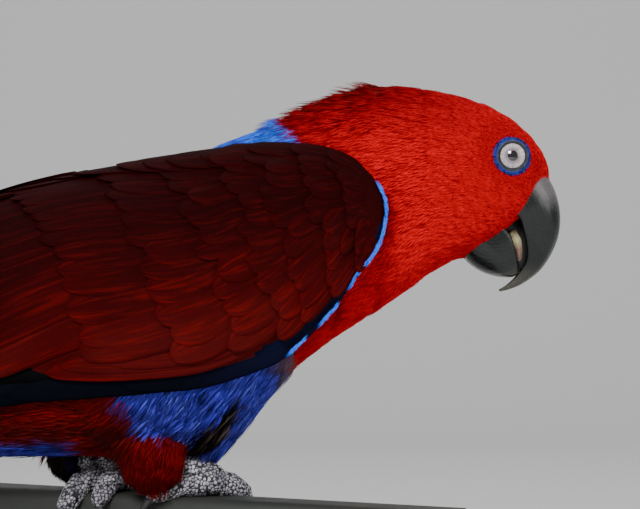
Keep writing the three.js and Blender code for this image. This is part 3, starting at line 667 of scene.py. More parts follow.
coats = {  # kind, tufts for each square metre, shortest and longest in mm, stray sideways, ruffle and seed
    "crownCoat": ("silk", 1.6e6, 5, 7.5, 0.12, 0.05, 3),
    "cheekCoat": ("silk", 1.6e6, 5, 7.5, 0.12, 0.05, 13),
    "napeCoat": ("silk", 1.0e6, 7, 11, 0.12, 0.07, 4),
    "breastCoat": ("silk", 1.0e6, 7, 10, 0.12, 0.05, 5),
    "mantleCoat": ("hair", 1.0e6, 9, 13, 0.14, 0.06, 6),
    "bellyCoat": ("hair", 0.8e6, 10, 15, 0.18, 0.10, 7),
    "ventCoat": ("hair", 0.5e6, 10, 16, 0.18, 0.08, 8),
    "thighCoat": ("hair", 1.2e6, 5, 8.5, 0.25, 0.16, 9),
    "frayCoat": ("hair", 0.3e6, 8, 12, 0.2, 0.42, 10),
}
lidCoat = ("silk", 16e6, 0.9, 1.4, 0.3, 0.2, 20)
tuftSizes = {  # blades, width, spread, rise and seed of a tuft one unit long, and its roughness and shading
    "silk": {"mesh": (6, 0.06, 0.16, 0.07, 11), "look": (0.7, 0.86, 0.88)},
    "hair": {"mesh": (6, 0.045, 0.16, 0.07, 12), "look": (0.6, 0.4, 0.78)},
}
patchSize = 0.003  # of each tuft on the map


def growTufts(name, ground, tree, tufts, coat):
    kind, density, shortest, longest, stray, ruffle, seed = coat
    tuft, finish = tufts[kind]
    piece = runTree(newObject(name, ground.data.copy()), tree, {
        "Tuft": tuft, "Where": name, "Density": density * 1,
        "Shortest": shortest * mm, "Longest": longest * mm, "Stray": stray, "Ruffle": ruffle,
        "Patch": patchSize, "Seed": seed, "Finish": finish})
    piece.data.shade_smooth()
    print(name, sum(len(p.vertices) - 2 for p in piece.data.polygons), "triangles")
    return piece


def lidMaterial():
    net = Paint("lidSkin")
    x, _, z = net.birdPlace(net.here)
    blue = net.colour(net.grain(1500.0), rgb(12, 14, 46), rgb(40, 56, 140))
    colour = net.colour(net.step(net.aroundEye(x, z)[2], 5.0, 5.25), rgb(5, 5, 8), blue)
    return net.finish(colour=colour, rough=0.5, normal=net.bump(net.grain(2500.0), 0.0002, 0.7))


# The lid's section: how far each edge lies from the eye's middle, out of the ball and out of the face
lidRows = ((4.35, 0.05, None), (4.45, 0.45, None), (4.9, 0.5, None), (5.5, 0.4, 0.45), (6.0, 0.3, 0.35),
           (6.5, None, -0.05), (7.1, None, -1.1), (6.0, None, -2.6), (4.7, -1.0, None))


def makeLidRing(side):  # the soft lid between the ball and the head's feathers
    rings = []
    for away, overBall, overFace in lidRows:
        ring = []
        for a in np.linspace(0, 2 * math.pi, 73)[:-1]:
            forward, up = away * math.cos(a), away * math.sin(a)
            outs = []
            if overBall is not None:
                outs.append(eye["centre"] + math.sqrt(eye["ball"] ** 2 - away ** 2) + overBall)
            if overFace is not None:
                outs.append(lidLevel(forward, up) + overFace)
            ring.append(at(eye["x"] + forward, side * max(outs), eye["z"] + up))
        rings.append(ring)
    lid = ringObject("lidRing", rings + [rings[0]], closeEnds=False)
    mesh = lid.data
    points, normals = meshPoints(mesh), meshNormals(mesh)
    away = np.column_stack([points[:, 0] / mm - eye["x"], (points[:, 2] - perchTop) / mm - eye["z"]])
    gap = np.linalg.norm(away, axis=1)
    lie = np.column_stack([away[:, 0] / gap, np.zeros(len(gap)), away[:, 1] / gap])
    giveAttribute(mesh, "lie", alongSkin(lie, normals))
    giveAttribute(mesh, "tuftSize", np.ones(len(gap)))
    grown = (gap > 5.2) & (gap < eye["ring"]) & (normals[:, 1] * side > 0.3)
    giveAttribute(mesh, "lidCoat", grown.astype(float))
    giveMap(mesh, 0.5 + away / 17)
    return lid


def makeCoats(skin, lidFinish):
    tree = tuftTree()
    tufts = {}
    for kind, sizes in tuftSizes.items():
        finish = strandMaterial(kind + "yPlumage", *sizes["look"])
        tufts[kind] = tuftMesh(kind + "Tuft", *sizes["mesh"]), finish
    made = [growTufts(name, skin, tree, tufts, coat) for name, coat in coats.items()]
    lidParts = []
    for name, side in sides:
        lid = makeLidRing(side)
        lid.name = "lidRing_" + name
        setMaterial(lid, lidFinish)
        tufted = growTufts("lidCoat", lid, tree, tufts, (*lidCoat[:-1], lidCoat[-1] + side))
        tufted.name = "lidCoat_" + name
        lidParts += [lid, tufted]
    for tuft, _ in tufts.values():
        bpy.data.objects.remove(tuft)
    return made, lidParts


skin = makeSkin()
mapSkin(skin)
setMaterial(skin, skinMaterial())
print("skin", len(skin.data.polygons), "faces")
lidFinish = lidMaterial()
coatPieces, lidPieces = makeCoats(skin, lidFinish)
print("coat made")


# Folded wing: the same surface as the wing's solid
wing = {
    "top": curve([(-152, 29), (-135, 44), (-120, 58), (-105, 72), (-90, 84), (-70, 95.5), (-46, 104),
                  (-20, 110.5), (0, 115.5), (20, 121), (40, 126), (60, 129), (81, 127)]),
    "half": curve([(-152, 9.5), (-135, 13.5), (-120, 18.5), (-105, 24), (-90, 29.5), (-70, 36), (-46, 42),
                   (-20, 46.5), (0, 48), (20, 48), (40, 46.5), (60, 43), (81, 36.5)]),
    "middle": curve([(-152, 24), (-120, 34), (-90, 45), (-46, 58), (0, 67), (20, 73), (40, 80), (60, 88),
                     (81, 97)]),
    "depth": curve([(-152, 12), (-120, 26), (-90, 38), (-46, 50), (0, 56), (40, 60), (81, 60)]),
    "upper": curve([(-152, 24), (-147, 31), (-135, 43), (-120, 60), (-100, 84), (-60, 106), (-20, 117),
                    (8, 119.5), (24, 118.8), (54, 118.7), (65, 117), (70.3, 114.8), (75.4, 110.4),
                    (78, 106.5), (80, 101.8), (81, 97)]),
    "lower": curve([(-152, 21), (-130, 21.5), (-100, 24.5), (-70, 28.5), (-46, 32), (-25, 34.5), (0, 36.5),
                    (23, 39.6), (36, 43.8), (46, 48), (55, 55.5), (65.5, 67), (72.8, 77.9), (76.5, 82.5),
                    (79.1, 87.3), (80.4, 91.9), (81, 97)]),
    "square": 2.25, "split": 1.0, "fade": 30,  # the wings part at the middle line within this of x = 0
}
sheet = {"from": -156.0, "to": 81.0, "below": -0.04, "above": 1.06, "along": 130, "across": 56}


def wingPoint(side, x, angle, lift):
    middle = wing["middle"](x)
    rise = (wing["top"](x) - middle if angle > 0 else wing["depth"](x)) + lift
    power = 2 / wing["square"]
    out = side * (wing["half"](x) + lift) * abs(math.cos(angle)) ** power
    return at(x, out, middle + rise * math.copysign(abs(math.sin(angle)) ** power, angle))


def wingAngle(x, share):
    middle = wing["middle"](x)

    def angleAt(z):
        above = z - middle
        rise = wing["top"](x) - middle if above > 0 else wing["depth"](x)
        return math.copysign(math.asin(min(abs(above / rise), 1) ** (wing["square"] / 2)), above)

    stop = math.acos(min(wing["split"] / wing["half"](x), 1) ** (wing["square"] / 2))
    upper = min(angleAt(wing["upper"](x)), stop)
    fade = wing["fade"]
    if -fade < x < fade:
        base, crest = wing["middle"](fade), wing["top"](fade)
        front = math.asin(((wing["upper"](fade) - base) / (crest - base)) ** (wing["square"] / 2))
        upper = stop + (front - stop) * float(smoothStep(-fade, fade, x))
    return upper + (angleAt(wing["lower"](x)) - upper) * share


def gridSheet(name, place, along, across):  # a surface with its own map, which vanes are laid on
    us = np.linspace(0, 1, along)
    vs = np.linspace(0, 1, across)
    points = [place(u, v) for u in us for v in vs]
    faces = [(i * across + k, i * across + k + 1, (i + 1) * across + k + 1, (i + 1) * across + k)
             for i in range(along - 1) for k in range(across - 1)]
    obj = meshObject(name, points, faces)
    solid = np.array([tuple(p) for p in points]).reshape(along, across, 3)
    wide = np.linalg.norm(np.diff(solid, axis=1), axis=2).sum(1)
    long = np.linalg.norm(np.diff(solid, axis=0), axis=2).sum(0).max()
    giveAttribute(obj.data, "wide", np.repeat(wide, across))
    giveAttribute(obj.data, "long", np.full(along * across, long))
    giveUv(obj.data, [(u, v) for u in us for v in vs], "sheetMap")
    return obj


def wingSheet(side):
    def place(u, v):
        x = sheet["from"] + (sheet["to"] - sheet["from"]) * u
        share = sheet["below"] + (sheet["above"] - sheet["below"]) * v
        return wingPoint(side, x, wingAngle(x, share), 0)
    return gridSheet("wingSheet", place, sheet["along"], sheet["across"])


def vaneMesh(name, along, across):  # a unit vane, closed, that knows its place along, across and through
    points, faces, data = [], [], []
    for face in (1, -1):
        for i in range(along):
            for k in range(across):
                t, c = i / (along - 1), 2 * k / (across - 1) - 1
                points.append((t, c * 0.1, face * 0.001))
                data.append((t, c, face))
    count = along * across
    for i in range(along - 1):
        for k in range(across - 1):
            a, b = i * across + k, (i + 1) * across + k
            faces.append((a, b, b + 1, a + 1))
            faces.append((a + 1 + count, b + 1 + count, b + count, a + count))
    rim = list(range(across)) + [i * across + across - 1 for i in range(1, along)]
    rim += [(along - 1) * across + k for k in range(across - 2, -1, -1)]
    rim += [i * across for i in range(along - 2, 0, -1)]
    for a, b in zip(rim, rim[1:] + rim[:1]):
        faces.append((a, b, b + count, a + count))
    obj = meshObject(name, points, faces)
    for i, key in enumerate(("vaneAlong", "vaneAcross", "vaneFace")):
        giveAttribute(obj.data, key, [d[i] for d in data])
    return obj


rowEnds = ["Root u 0", "Root u 1", "Root v 0", "Root v 1", "Tip u 0", "Tip u 1", "Tip v 0", "Tip v 1"]
rowSizes = ["Width", "Root lift", "Tip lift", "Roll", "Cup", "Jitter", "Thick", "Blunt", "Notch", "Flip",
            "Kind"]


def vaneTree():
    net, given = newTree("vaneRow", {
        "Base": "Geometry", "Sheet": "Object", "Vane": "Object", "Count": "Int", "Seed": "Int",
        "Finish": "Material", **dict.fromkeys(rowEnds + rowSizes, "Float")})
    points = net.get("GeometryNodePoints", None, {"Count": given["Count"]})
    index = net.get("GeometryNodeInputIndex")
    points = store(net, points, "order", "FLOAT", index / net.math("MAXIMUM", given["Count"] - 1, 1))
    for i, name in enumerate(("pick", "pickTwo")):
        points = store(net, points, name, "FLOAT", anyValue(net, given["Seed"] + i * 13))
    vanes = repeated(net, points, given["Vane"])
    t, c, face = (namedValue(net, key) for key in ("vaneAlong", "vaneAcross", "vaneFace"))
    order, pick, pickTwo = (namedValue(net, key) for key in ("order", "pick", "pickTwo"))

    def between(low, high, factor):
        return given[low] + (given[high] - given[low]) * factor

    jitter = (pick - 0.5) * given["Jitter"]
    rootU, rootV = between("Root u 0", "Root u 1", order), between("Root v 0", "Root v 1", order)
    tipU = between("Tip u 0", "Tip u 1", order) + jitter
    tipV = between("Tip v 0", "Tip v 1", order) + (pickTwo - 0.5) * given["Jitter"]
    u = rootU + (tipU - rootU) * t
    v = rootV + (tipV - rootV) * t
    sheetInfo = net.get("GeometryNodeObjectInfo", None, {"Object": given["Sheet"]}, "Geometry")
    sheetMap = namedValue(net, "sheetMap", "FLOAT_VECTOR")

    def sample(kind, value, u, v):
        inside = [net.math("MINIMUM", net.math("MAXIMUM", w, 0.0005), 0.9995) for w in (u, v)]
        return net.get("GeometryNodeSampleUVSurface", {"data_type": kind}, {
            "Mesh": sheetInfo, "Value": value, "UV Map": sheetMap, "Sample UV": net.join(*inside, 0.0)})

    wide = sample("FLOAT", namedValue(net, "wide"), u, v)
    long = sample("FLOAT", namedValue(net, "long"), u, v)
    du, dv = (tipU - rootU) * long, (tipV - rootV) * wide
    size = net.math("SQRT", du * du + dv * dv) + 1e-6
    base = net.math("MINIMUM", t / 0.3, 1.0) * 0.5 + 0.5
    end = net.math("MAXIMUM", t - 1 + given["Blunt"], 0.0) / given["Blunt"]
    taper = net.math("SQRT", net.math("MAXIMUM", 1.002 - end * end, 0.0))
    half = given["Width"] * 0.5 * base * taper * (0.94 + pick * 0.12)
    ripple = net.math("SINE", t * 37 + pick * 40) * net.math("SINE", t * 13 + c * 2) * 0.025 * c * t
    slide = c * half * (1 + ripple)
    u2 = u - slide * dv / size / long
    v2 = v + slide * du / size / wide
    lift = between("Root lift", "Tip lift", t) - given["Roll"] * c * base * taper
    lift = lift - given["Cup"] * c * c * base * taper + face * given["Thick"] * 0.5
    lift = lift + (1 - net.math("ABSOLUTE", c)) ** 6 * given["Notch"] * (1 - t)
    place = sample("FLOAT_VECTOR", net.get("GeometryNodeInputPosition"), u2, v2)
    up = sample("FLOAT_VECTOR", net.get("GeometryNodeInputNormal"), u2, v2)
    place = net.vector("ADD", place, net.vector("SCALE", up, Scale=lift * given["Flip"]))
    vanes = net.get("GeometryNodeSetPosition", None, {"Geometry": vanes, "Position": place})
    spot = net.join(0.02 + net.math("MINIMUM", u, 1.0) * 0.9 + (t - 0.5) * 0.05,
                    0.03 + v * 0.9 + c * 0.03, 0.0)
    vanes = store(net, vanes, "OFBake", "FLOAT2", spot, "CORNER")
    vanes = store(net, vanes, "kind", "FLOAT", given["Kind"])
    return closeTree(net, vanes, given["Finish"])


vaneSizes = {"roll": 0.32, "cup": 0.3, "thick": 0.22, "shaft": 0.1, "jitter": 0.025, "blunt": 0.36}


def vaneRow(name, count, root, tip, width, lift, kind, seed, **own):
    return {**vaneSizes, "name": name, "count": count, "root": root, "tip": tip, "width": width,
            "lift": lift, "kind": kind, "seed": seed, **own}


# Rows of the wing from the lowest layer up: count, x in mm of the first and last root and their shares from
# the back edge to the lower edge, the same of the tips, width and lifts of root and tip in mm, kind and seed
wingRows = [
    vaneRow("primaries", 7, (-40, -10, 0.60, 0.93), (-116, -151, 0.16, 0.62), 15, (-2.6, -2.2), 0.0, 1),
    vaneRow("band", 4, (72, -30, 0.965, 0.955), (-10, -122, 0.975, 0.97), 10, (-2.6, -2.2), 0.1, 3,
            roll=0.1),
    vaneRow("secondaries", 11, (-16, 8, 0.03, 0.70), (-112, -66, 0.05, 0.86), 16, (-1.6, -0.8), 0.35, 2),
    vaneRow("primaryCoverts", 3, (44, 40, 0.86, 0.90), (-16, -34, 0.875, 0.90), 9, (-1.4, -0.5), 0.4, 4),
    vaneRow("greaterCoverts", 14, (2, 34, 0.03, 0.72), (-52, -18, 0.05, 0.865), 15, (-1.3, 0.0), 0.6, 5),
    vaneRow("medianCoverts", 14, (24, 48, 0.03, 0.73), (-20, 10, 0.05, 0.87), 14, (-1.2, 0.3), 0.7, 6),
    vaneRow("lesserCoverts1", 14, (38, 59, 0.03, 0.74), (4, 30, 0.05, 0.875), 13, (-1.0, 0.6), 0.8, 7),
    vaneRow("lesserCoverts2", 14, (50, 67, 0.03, 0.77), (20, 44, 0.05, 0.88), 12, (-1.0, 0.8), 0.85, 8),
    vaneRow("lesserCoverts3", 13, (60, 72, 0.03, 0.80), (34, 54, 0.04, 0.89), 11, (-1.2, 1.0), 0.9, 9),
    vaneRow("marginCoverts1", 12, (69, 75.5, 0.05, 0.84), (48, 62, 0.05, 0.90), 9.5, (-1.6, 1.0), 0.95, 10),
    vaneRow("marginCoverts2", 10, (76, 78.5, 0.08, 0.88), (60, 69, 0.08, 0.91), 8.5, (-2.6, 0.9), 1.0, 11),
    vaneRow("scapulars1", 6, (34, -30, 0.02, 0.02), (-6, -78, 0.03, 0.03), 17, (-1.0, 0.9), 0.5, 12),
    vaneRow("scapulars2", 5, (52, 14, 0.06, 0.05), (20, -24, 0.08, 0.06), 17, (-1.0, 1.4), 0.55, 13),
]


def wingMaterial():
    net = Paint("maroonVane")
    x, _, z = net.birdPlace(net.here)
    along, across, kind, pick = (net.attribute(key) for key in ("vaneAlong", "vaneAcross", "kind", "pick"))
    cloud = net.grain(30.0, 3.0, 0.55)
    low = net.step(z - x * 0.2 + (cloud - 0.5) * 40, 98, 46)
    colour = net.colour(low, tones["wingTop"], tones["maroon"])
    colour = net.colour(net.step(low, 0.6, 1.0) * net.step(cloud, 0.3, 0.7), colour, tones["wingLow"])
    barb = net.noise(net.join(along * 1.4 + pick * 30, across * 3.2, pick * 20), 1.6, 5.0, 0.65)
    streak = net.step(barb, 0.46, 0.7) * net.line(low, 0, 1, 0.15, 0.75)
    colour = net.colour(streak, colour, tones["wingStreak"])
    # each vane gets its own tone, and is darker towards its root, where the row above lies over it: painted
    # shade
    shade = net.line(pick, 0, 1, 0.86, 1.12) * net.line(along, 0.5, 1.0, 0.9, 1.05)
    colour = net.shaded(colour, shade)
    band = net.colour(net.step(x, 6, 46), tones["navy"], tones["bandBlue"])
    dark = net.colour(net.step(kind, 0.02, 0.06), tones["black"], band)
    colour = net.colour(net.step(kind, 0.3, 0.12), colour, dark)
    fine = net.math("SINE", (net.math("ABSOLUTE", across) * 0.5 - along * 3) * 190 + net.grain(300.0) * 5)
    fine = fine * 0.4 + net.grain(1100.0, 3.0) * 1.2
    return net.finish(colour=colour, rough=0.6 - net.step(kind, 0.06, 0.02) * 0.24, specular=0.12, ior=1.2,
                      normal=net.bump(fine, 0.0005, 0.45))


def layRows(name, rows, laid, flip, finish, scale):  # all rows of vanes on one sheet, as one piece
    pieces = []
    for row in rows:
        piece = newObject(name + row["name"], bpy.data.meshes.new(row["name"]))
        values = dict(zip(rowEnds, scale(*row["root"]) + scale(*row["tip"])))
        values |= {"Width": row["width"] * mm, "Root lift": row["lift"][0] * mm,
                   "Tip lift": row["lift"][1] * mm, "Roll": row["roll"] * mm, "Cup": row["cup"] * mm,
                   "Thick": row["thick"] * mm, "Notch": row["shaft"] * mm, "Jitter": row["jitter"],
                   "Blunt": row["blunt"], "Flip": flip, "Kind": row["kind"], "Count": row["count"],
                   "Seed": row["seed"], "Sheet": laid, "Vane": longVane, "Finish": finish}
        pieces.append(runTree(piece, rowTree, values))
    bpy.ops.object.select_all(action="DESELECT")
    for piece in pieces:
        piece.select_set(True)
    whole = pieces[0]
    bpy.context.view_layer.objects.active = whole
    bpy.ops.object.join()
    whole.name = name
    setMaterial(whole, finish)
    whole.data.shade_smooth()
    return whole


def onWing(first, last, firstShare, lastShare):  # one end of a row, as places on the sheet
    us = [(x - sheet["from"]) / (sheet["to"] - sheet["from"]) for x in (first, last)]
    vs = [(share - sheet["below"]) / (sheet["above"] - sheet["below"]) for share in (firstShare, lastShare)]
    return us + vs


bedSizes = {"rear": -100, "long": 180.6, "crowd": 0.8, "sunk": 1.5, "rim": 1.2, "front": 2, "back": 2.4,
            "thick": 3.0, "band": 6.5}


def wingBed(side):  # the layer under the vanes, so that no gap shows the body
    def place(u, v):
        x = bedSizes["rear"] + bedSizes["long"] * u ** bedSizes["crowd"]
        front = max(x - 72, 0) / 9  # 0 over most of the wing, 1 at its front end
        rounded = 1 - math.sqrt(max(1 - front * front, 0))
        back = max(-x - 20, 0) / 80
        lift = -bedSizes["sunk"] - bedSizes["rim"] * abs(2 * v - 1) ** 5
        lift = lift - bedSizes["front"] * rounded - bedSizes["back"] * back
        return wingPoint(side, x, wingAngle(x, v), lift)
    made = gridSheet("wingBed", place, 60, 30)
    modifier(made, "SOLIDIFY", thickness=bedSizes["thick"] * mm, offset=side)
    return flatten(made)


rowTree = vaneTree()
longVane = vaneMesh("longVane", 22, 9)
maroon = wingMaterial()
wingPieces = []
for name, side in sides:
    laid = wingSheet(side)
    piece = layRows("wingVanes_" + name, wingRows, laid, -side, maroon, onWing)
    bed = wingBed(side)
    points = meshPoints(bed.data)
    low = np.array([wing["lower"](p[0] / mm) for p in points])
    inBand = (points[:, 2] - perchTop) / mm < low + bedSizes["band"]
    giveAttribute(bed.data, "kind", np.where(inBand, 0.1, 0.6))
    for key, value in (("vaneAlong", 0.5), ("vaneAcross", 0.0), ("pick", 0.4)):
        giveAttribute(bed.data, key, np.full(len(inBand), value))
    bed.name = "wingBed_" + name
    setMaterial(bed, maroon)
    bpy.data.objects.remove(laid)
    wingPieces.append((name, piece, bed))
print("wings made", len(wingPieces[0][1].data.polygons))


# Sky-blue edge of the wing: small bright blades in a broken line along its front
edgeLine = {"front": 77.5, "end": 80.85, "rear": 50.5, "count": 300, "length": 4.6, "width": 0.8,
            "seed": 31}


def makeEdge(side):
    draw = random.Random(edgeLine["seed"] + side)
    lowerXs = [*np.linspace(edgeLine["end"], 74, 160), *np.linspace(73.9, edgeLine["rear"], 240)]
    track = [(x, 0.0) for x in np.linspace(edgeLine["front"], edgeLine["end"], 60)]
    track += [(x, 1.0) for x in lowerXs]
    spots = [wingPoint(side, x, wingAngle(x, share), 0.5 - 1.2 * float(smoothStep(76, 80, x)))
             for x, share in track]
    points, faces = [], []
    lengths = np.concatenate([[0], np.cumsum([(b - a).length for a, b in zip(spots, spots[1:])])])
    for i in range(edgeLine["count"]):
        part = i / edgeLine["count"]
        broken = 0.5 + 0.5 * math.sin(part * 27 + 1.2) + 0.35 * math.sin(part * 83 + 1)
        if part > 0.45 and broken < 0.6:
            continue
        reach = lengths[-1] * min(part + 0.004 * draw.random(), 0.985)
        k = min(int(np.searchsorted(lengths, reach)), len(spots) - 2)
        spot, ahead = spots[k], (spots[k + 1] - spots[k]).normalized()
        outer = Vector((0.35, side, 0)).normalized()
        across = ahead.cross(outer).normalized()
        length = edgeLine["length"] * mm * (0.7 + 0.6 * draw.random())
        width = edgeLine["width"] * mm * (0.6 + 0.5 * draw.random())
        start = spot + across * ((draw.random() - 0.5) * 1.0 * mm) - outer * 1.6 * mm
        middle = start + ahead * length * 0.5 + outer * (0.5 + 0.5 * draw.random()) * mm
        end = start + ahead * length + outer * 0.2 * mm
        base = len(points)
        points += [start, middle - across * width / 2, middle + across * width / 2,
                   middle + outer * 0.3 * mm, end]
        for a, b in ((1, 2), (2, 3), (3, 1)):
            faces.append((base, base + b, base + a))
            faces.append((base + 4, base + a, base + b))
    edge = outward(meshObject("blueEdge", points, faces))
    flat = meshPoints(edge.data)
    giveUv(edge.data, np.column_stack([flat[:, 0] * 4 + 0.5, flat[:, 2] * 4]))
    return edge


def edgeMaterial():
    net = Paint("skyBlueEdge")
    colour = net.colour(net.grain(500.0), rgb(16, 56, 200), rgb(40, 130, 255))
    return net.finish(colour=colour, rough=0.5, specular=0.2)


edgeFinish = edgeMaterial()
for name, side in sides:
    piece = makeEdge(side)
    piece.name = "blueEdge_" + name
    setMaterial(piece, edgeFinish)
    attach(piece, "root")


# Tail: a roof-shaped fan, laid on its own sheet
tail = {"root": (-66, 0, 40), "slope": math.radians(18.5), "roof": 0.011, "long": 125.0, "half": 34.0}


def tailSheet():
    def place(u, v):
        back, left = u * tail["long"], (v - 0.5) * 2 * tail["half"]
        lift = -tail["roof"] * left * left
        x = tail["root"][0] - back * math.cos(tail["slope"]) - lift * math.sin(tail["slope"])
        z = tail["root"][2] - back * math.sin(tail["slope"]) + lift * math.cos(tail["slope"])
        return at(x, left, z)
    return gridSheet("tailSheet", place, 40, 40)


# Name, where the roots start, width, lifts added at root and tip, kind, seed, and each layer's level, reach
# and spread
coverts = (("upperCoverts", 6, 13, (-2.5, -1.4), 0.4, 40, ((2.4, 46, 9), (3.2, 60, 8.5), (4.2, 34, 8))),
           ("underCoverts", 14, 14, (2.5, 1.0), 0.6, 50, ((-7.2, 78, 11), (-9.0, 62, 10), (-10.5, 46, 9))))


def tailRows():
    rows = []
    for i in range(5, -1, -1):
        for side in (-1, 1):
            level = -1.05 * i - (0.55 if side > 0 else 0)
            start, reach, end = side * (1.5 + 0.9 * i), 119.5 - 0.55 * i * i, side * (4.5 + 3.2 * i)
            rows.append(vaneRow("rectrix%d%s" % (i, "lr"[side > 0]), 1, (16, 16, start, start),
                                (reach, reach, end, end), 17.5, (level, level), 0.5, 20 + i,
                                roll=0.0, blunt=0.15, jitter=0.0))
    for name, start, width, lifts, kind, seed, layers in coverts:
        for k, (level, reach, spread) in enumerate(layers):
            rows.append(vaneRow(name + str(k), 6, (start, start, -spread * 0.8, spread * 0.8),
                                (reach, reach, -spread, spread), width,
                                (level + lifts[0], level + lifts[1]), kind, seed + k, roll=0.4, blunt=0.4))
    return rows


def onTail(first, last, firstLeft, lastLeft):
    across = [left / (2 * tail["half"]) + 0.5 for left in (firstLeft, lastLeft)]
    return [first / tail["long"], last / tail["long"]] + across


def tailMaterial():
    net = Paint("redTailVane")
    x = net.birdPlace(net.here)[0]
    along, across = net.attribute("vaneAlong"), net.math("ABSOLUTE", net.attribute("vaneAcross"))
    colour = net.colour(net.grain(120.0, 3.0), tones["ventRed"], tones["tailRed"])
    colour = net.colour(net.step(x, -140, -172) * 0.8, colour, tones["tailTip"])
    colour = net.colour(net.step(across, 0.12, 0.0) * 0.4, colour, tones["wingTop"])
    barb = net.math("SINE", (across * 0.4 - along * 5) * 160)
    return net.finish(colour=colour, rough=0.55, specular=0.3, normal=net.bump(barb, 0.0003, 0.35))


laidTail = tailSheet()
tailPiece = layRows("tailVanes", tailRows(), laidTail, 1, tailMaterial(), onTail)
bpy.data.objects.remove(laidTail)
bpy.data.objects.remove(longVane)
print("tail made")


# Bill and tongue
# Cuts across the bill, each from its outer to its inner edge: x and z of both and the half width
billUpper = [(136.2, 110.5, 122.8, 98.5, 11.2), (139.6, 104.2, 126.6, 94.6, 10.8),
             (141.3, 97, 128, 90.6, 9.8), (141, 89.6, 129, 86.9, 8.5), (138.6, 82.8, 129.6, 83.2, 7),
             (134.4, 76.6, 129.2, 79.2, 5), (128.6, 72.2, 126.3, 74.9, 3), (124, 70.2, 122.9, 71.7, 1.5),
             (120.6, 69.4, 120.2, 70.1, 0.5)]
billLower = [(106.2, 83.2, 121.4, 91.4, 10), (109.8, 79.2, 123.8, 88.6, 9.8), (114.4, 76.2, 125, 84.8, 9),
             (119.6, 74.6, 125.8, 81.4, 7.6), (124.2, 74.3, 126.5, 78.6, 5.6), (127, 75.3, 127.3, 77, 3.4)]
upperSection = [(0, 1), (0.42, 0.93), (0.78, 0.66), (0.97, 0.2), (1, -0.35), (0.95, -1), (0.6, -0.5),
                (0, -0.32)]
lowerSection = [(0, 1), (0.45, 0.9), (0.82, 0.6), (1, 0.1), (0.98, -0.5), (0.92, -1), (0.66, -0.45),
                (0, -0.2)]


def makeBill(name, cuts, section, steps):
    columns, (wide, deep) = curves(cuts), curves(section)
    places = np.linspace(0, len(section) - 1, 26)
    one = list(zip(wide(places), deep(places)))
    rings = []
    for place in np.linspace(0, len(cuts) - 1, steps):
        outerX, outerZ, innerX, innerZ, half = (float(column(place)) for column in columns)
        middle = Vector(((outerX + innerX) / 2, 0, (outerZ + innerZ) / 2))
        out = Vector((outerX, 0, outerZ)) - middle
        ring = [middle + out * v + Vector((0, w * half, 0)) for w, v in one]
        ring += [middle + out * v - Vector((0, w * half, 0)) for w, v in one[-2:0:-1]]
        rings.append([at(*p) for p in ring])
    return ringObject(name, rings)


def billMaterial():
    net = Paint("hornBill")
    x, _, z = net.birdPlace(net.here)
    cloud = net.grain(150.0, 4.0, 0.6)
    colour = net.colour(cloud, rgb(5, 6, 6), rgb(24, 29, 27))
    # a pale patch at the top of the bill near the cere: painted highlight, partly scuffed horn
    wearAndHighlight = net.step(z + (cloud - 0.5) * 8, 96, 104) * net.step(x + z * 0.6, 191, 197)
    colour = net.colour(wearAndHighlight * 0.42, colour, rgb(136, 130, 132))
    tip = net.step(z + (cloud - 0.5) * 4, 80, 71) * net.step(x - z, 42, 50)
    colour = net.colour(tip * 0.5, colour, rgb(82, 78, 68))
    fromHinge = net.vector("SUBTRACT", net.here, tuple(at(118, 0, 92)))
    scratch = net.get("ShaderNodeTexWave", {"wave_type": "RINGS", "rings_direction": "Y"}, {
        "Vector": fromHinge, "Scale": 260.0, "Distortion": 3.0, "Detail": 3.0, "Detail Scale": 2.0})
    return net.finish(colour=colour, rough=0.2 + net.grain(700.0, 3.0) * 0.14, specular=0.34, coat=0.12,
                      coatRough=0.06, normal=net.bump(scratch + net.grain(1400.0) * 0.4, 0.00006, 0.5))


horn = billMaterial()
upperPiece = makeBill("hornBillUpper", billUpper, upperSection, 70)
lowerPiece = makeBill("hornBillLower", billLower, lowerSection, 46)
for piece in (upperPiece, lowerPiece):
    piece.data.materials.append(horn)


def tongueMaterial():
    net = Paint("tongueFlesh")
    z = net.birdPlace(net.here)[2]
    pale = net.step(z + (net.grain(500.0) - 0.5) * 4, 84, 88)
    return net.finish(colour=net.colour(pale, rgb(150, 120, 104), rgb(206, 196, 150)), rough=0.4, coat=0.3,
                      scatter=0.15, scatterScale=0.002,
                      normal=net.bump(net.grain(1800.0, 3.0), 0.0002, 0.6))


def smoothCopy(name, source, voxel, smooth, swell=0.0):
    piece = joined(name, [nodes[n] for n in source])
    if swell:
        modifier(piece, "DISPLACE", strength=swell, mid_level=0)
    modifier(piece, "REMESH", mode="VOXEL", voxel_size=voxel)
    modifier(piece, "SMOOTH", factor=0.5, iterations=smooth)
    flatten(piece)
    piece.data.shade_smooth()
    return piece


mouthLine = [(112, 96.5, 4.0), (117, 95.5, 4.4), (121.5, 94.2, 4.2), (125.2, 91.2, 3.6), (127.4, 86.6, 2.8),
             (127.9, 81.5, 2.3), (126.9, 76.6, 2.0)]


def makeMouth():  # the dark mouth behind the tongue
    xOf, zOf, size = curves(mouthLine)
    rings = []
    for place in np.linspace(0, len(mouthLine) - 1, 30):
        before, after = place - 0.1, place + 0.1
        ahead = Vector((float(xOf(after) - xOf(before)), 0, float(zOf(after) - zOf(before))))
        up = Vector((-ahead.z, 0, ahead.x)).normalized()
        middle = Vector((float(xOf(place)), 0, float(zOf(place))))
        outs = [up * math.sin(a) + Vector((0, 0.45 * math.cos(a), 0)) for a in turns(24)]
        rings.append([at(*(middle + out * float(size(place)))) for out in outs])
    return ringObject("mouthLining", rings)


def mouthMaterial():
    net = Paint("mouthSkin")
    return net.finish(colour=net.colour(net.grain(600.0), rgb(10, 9, 10), rgb(34, 28, 28)), rough=0.5)


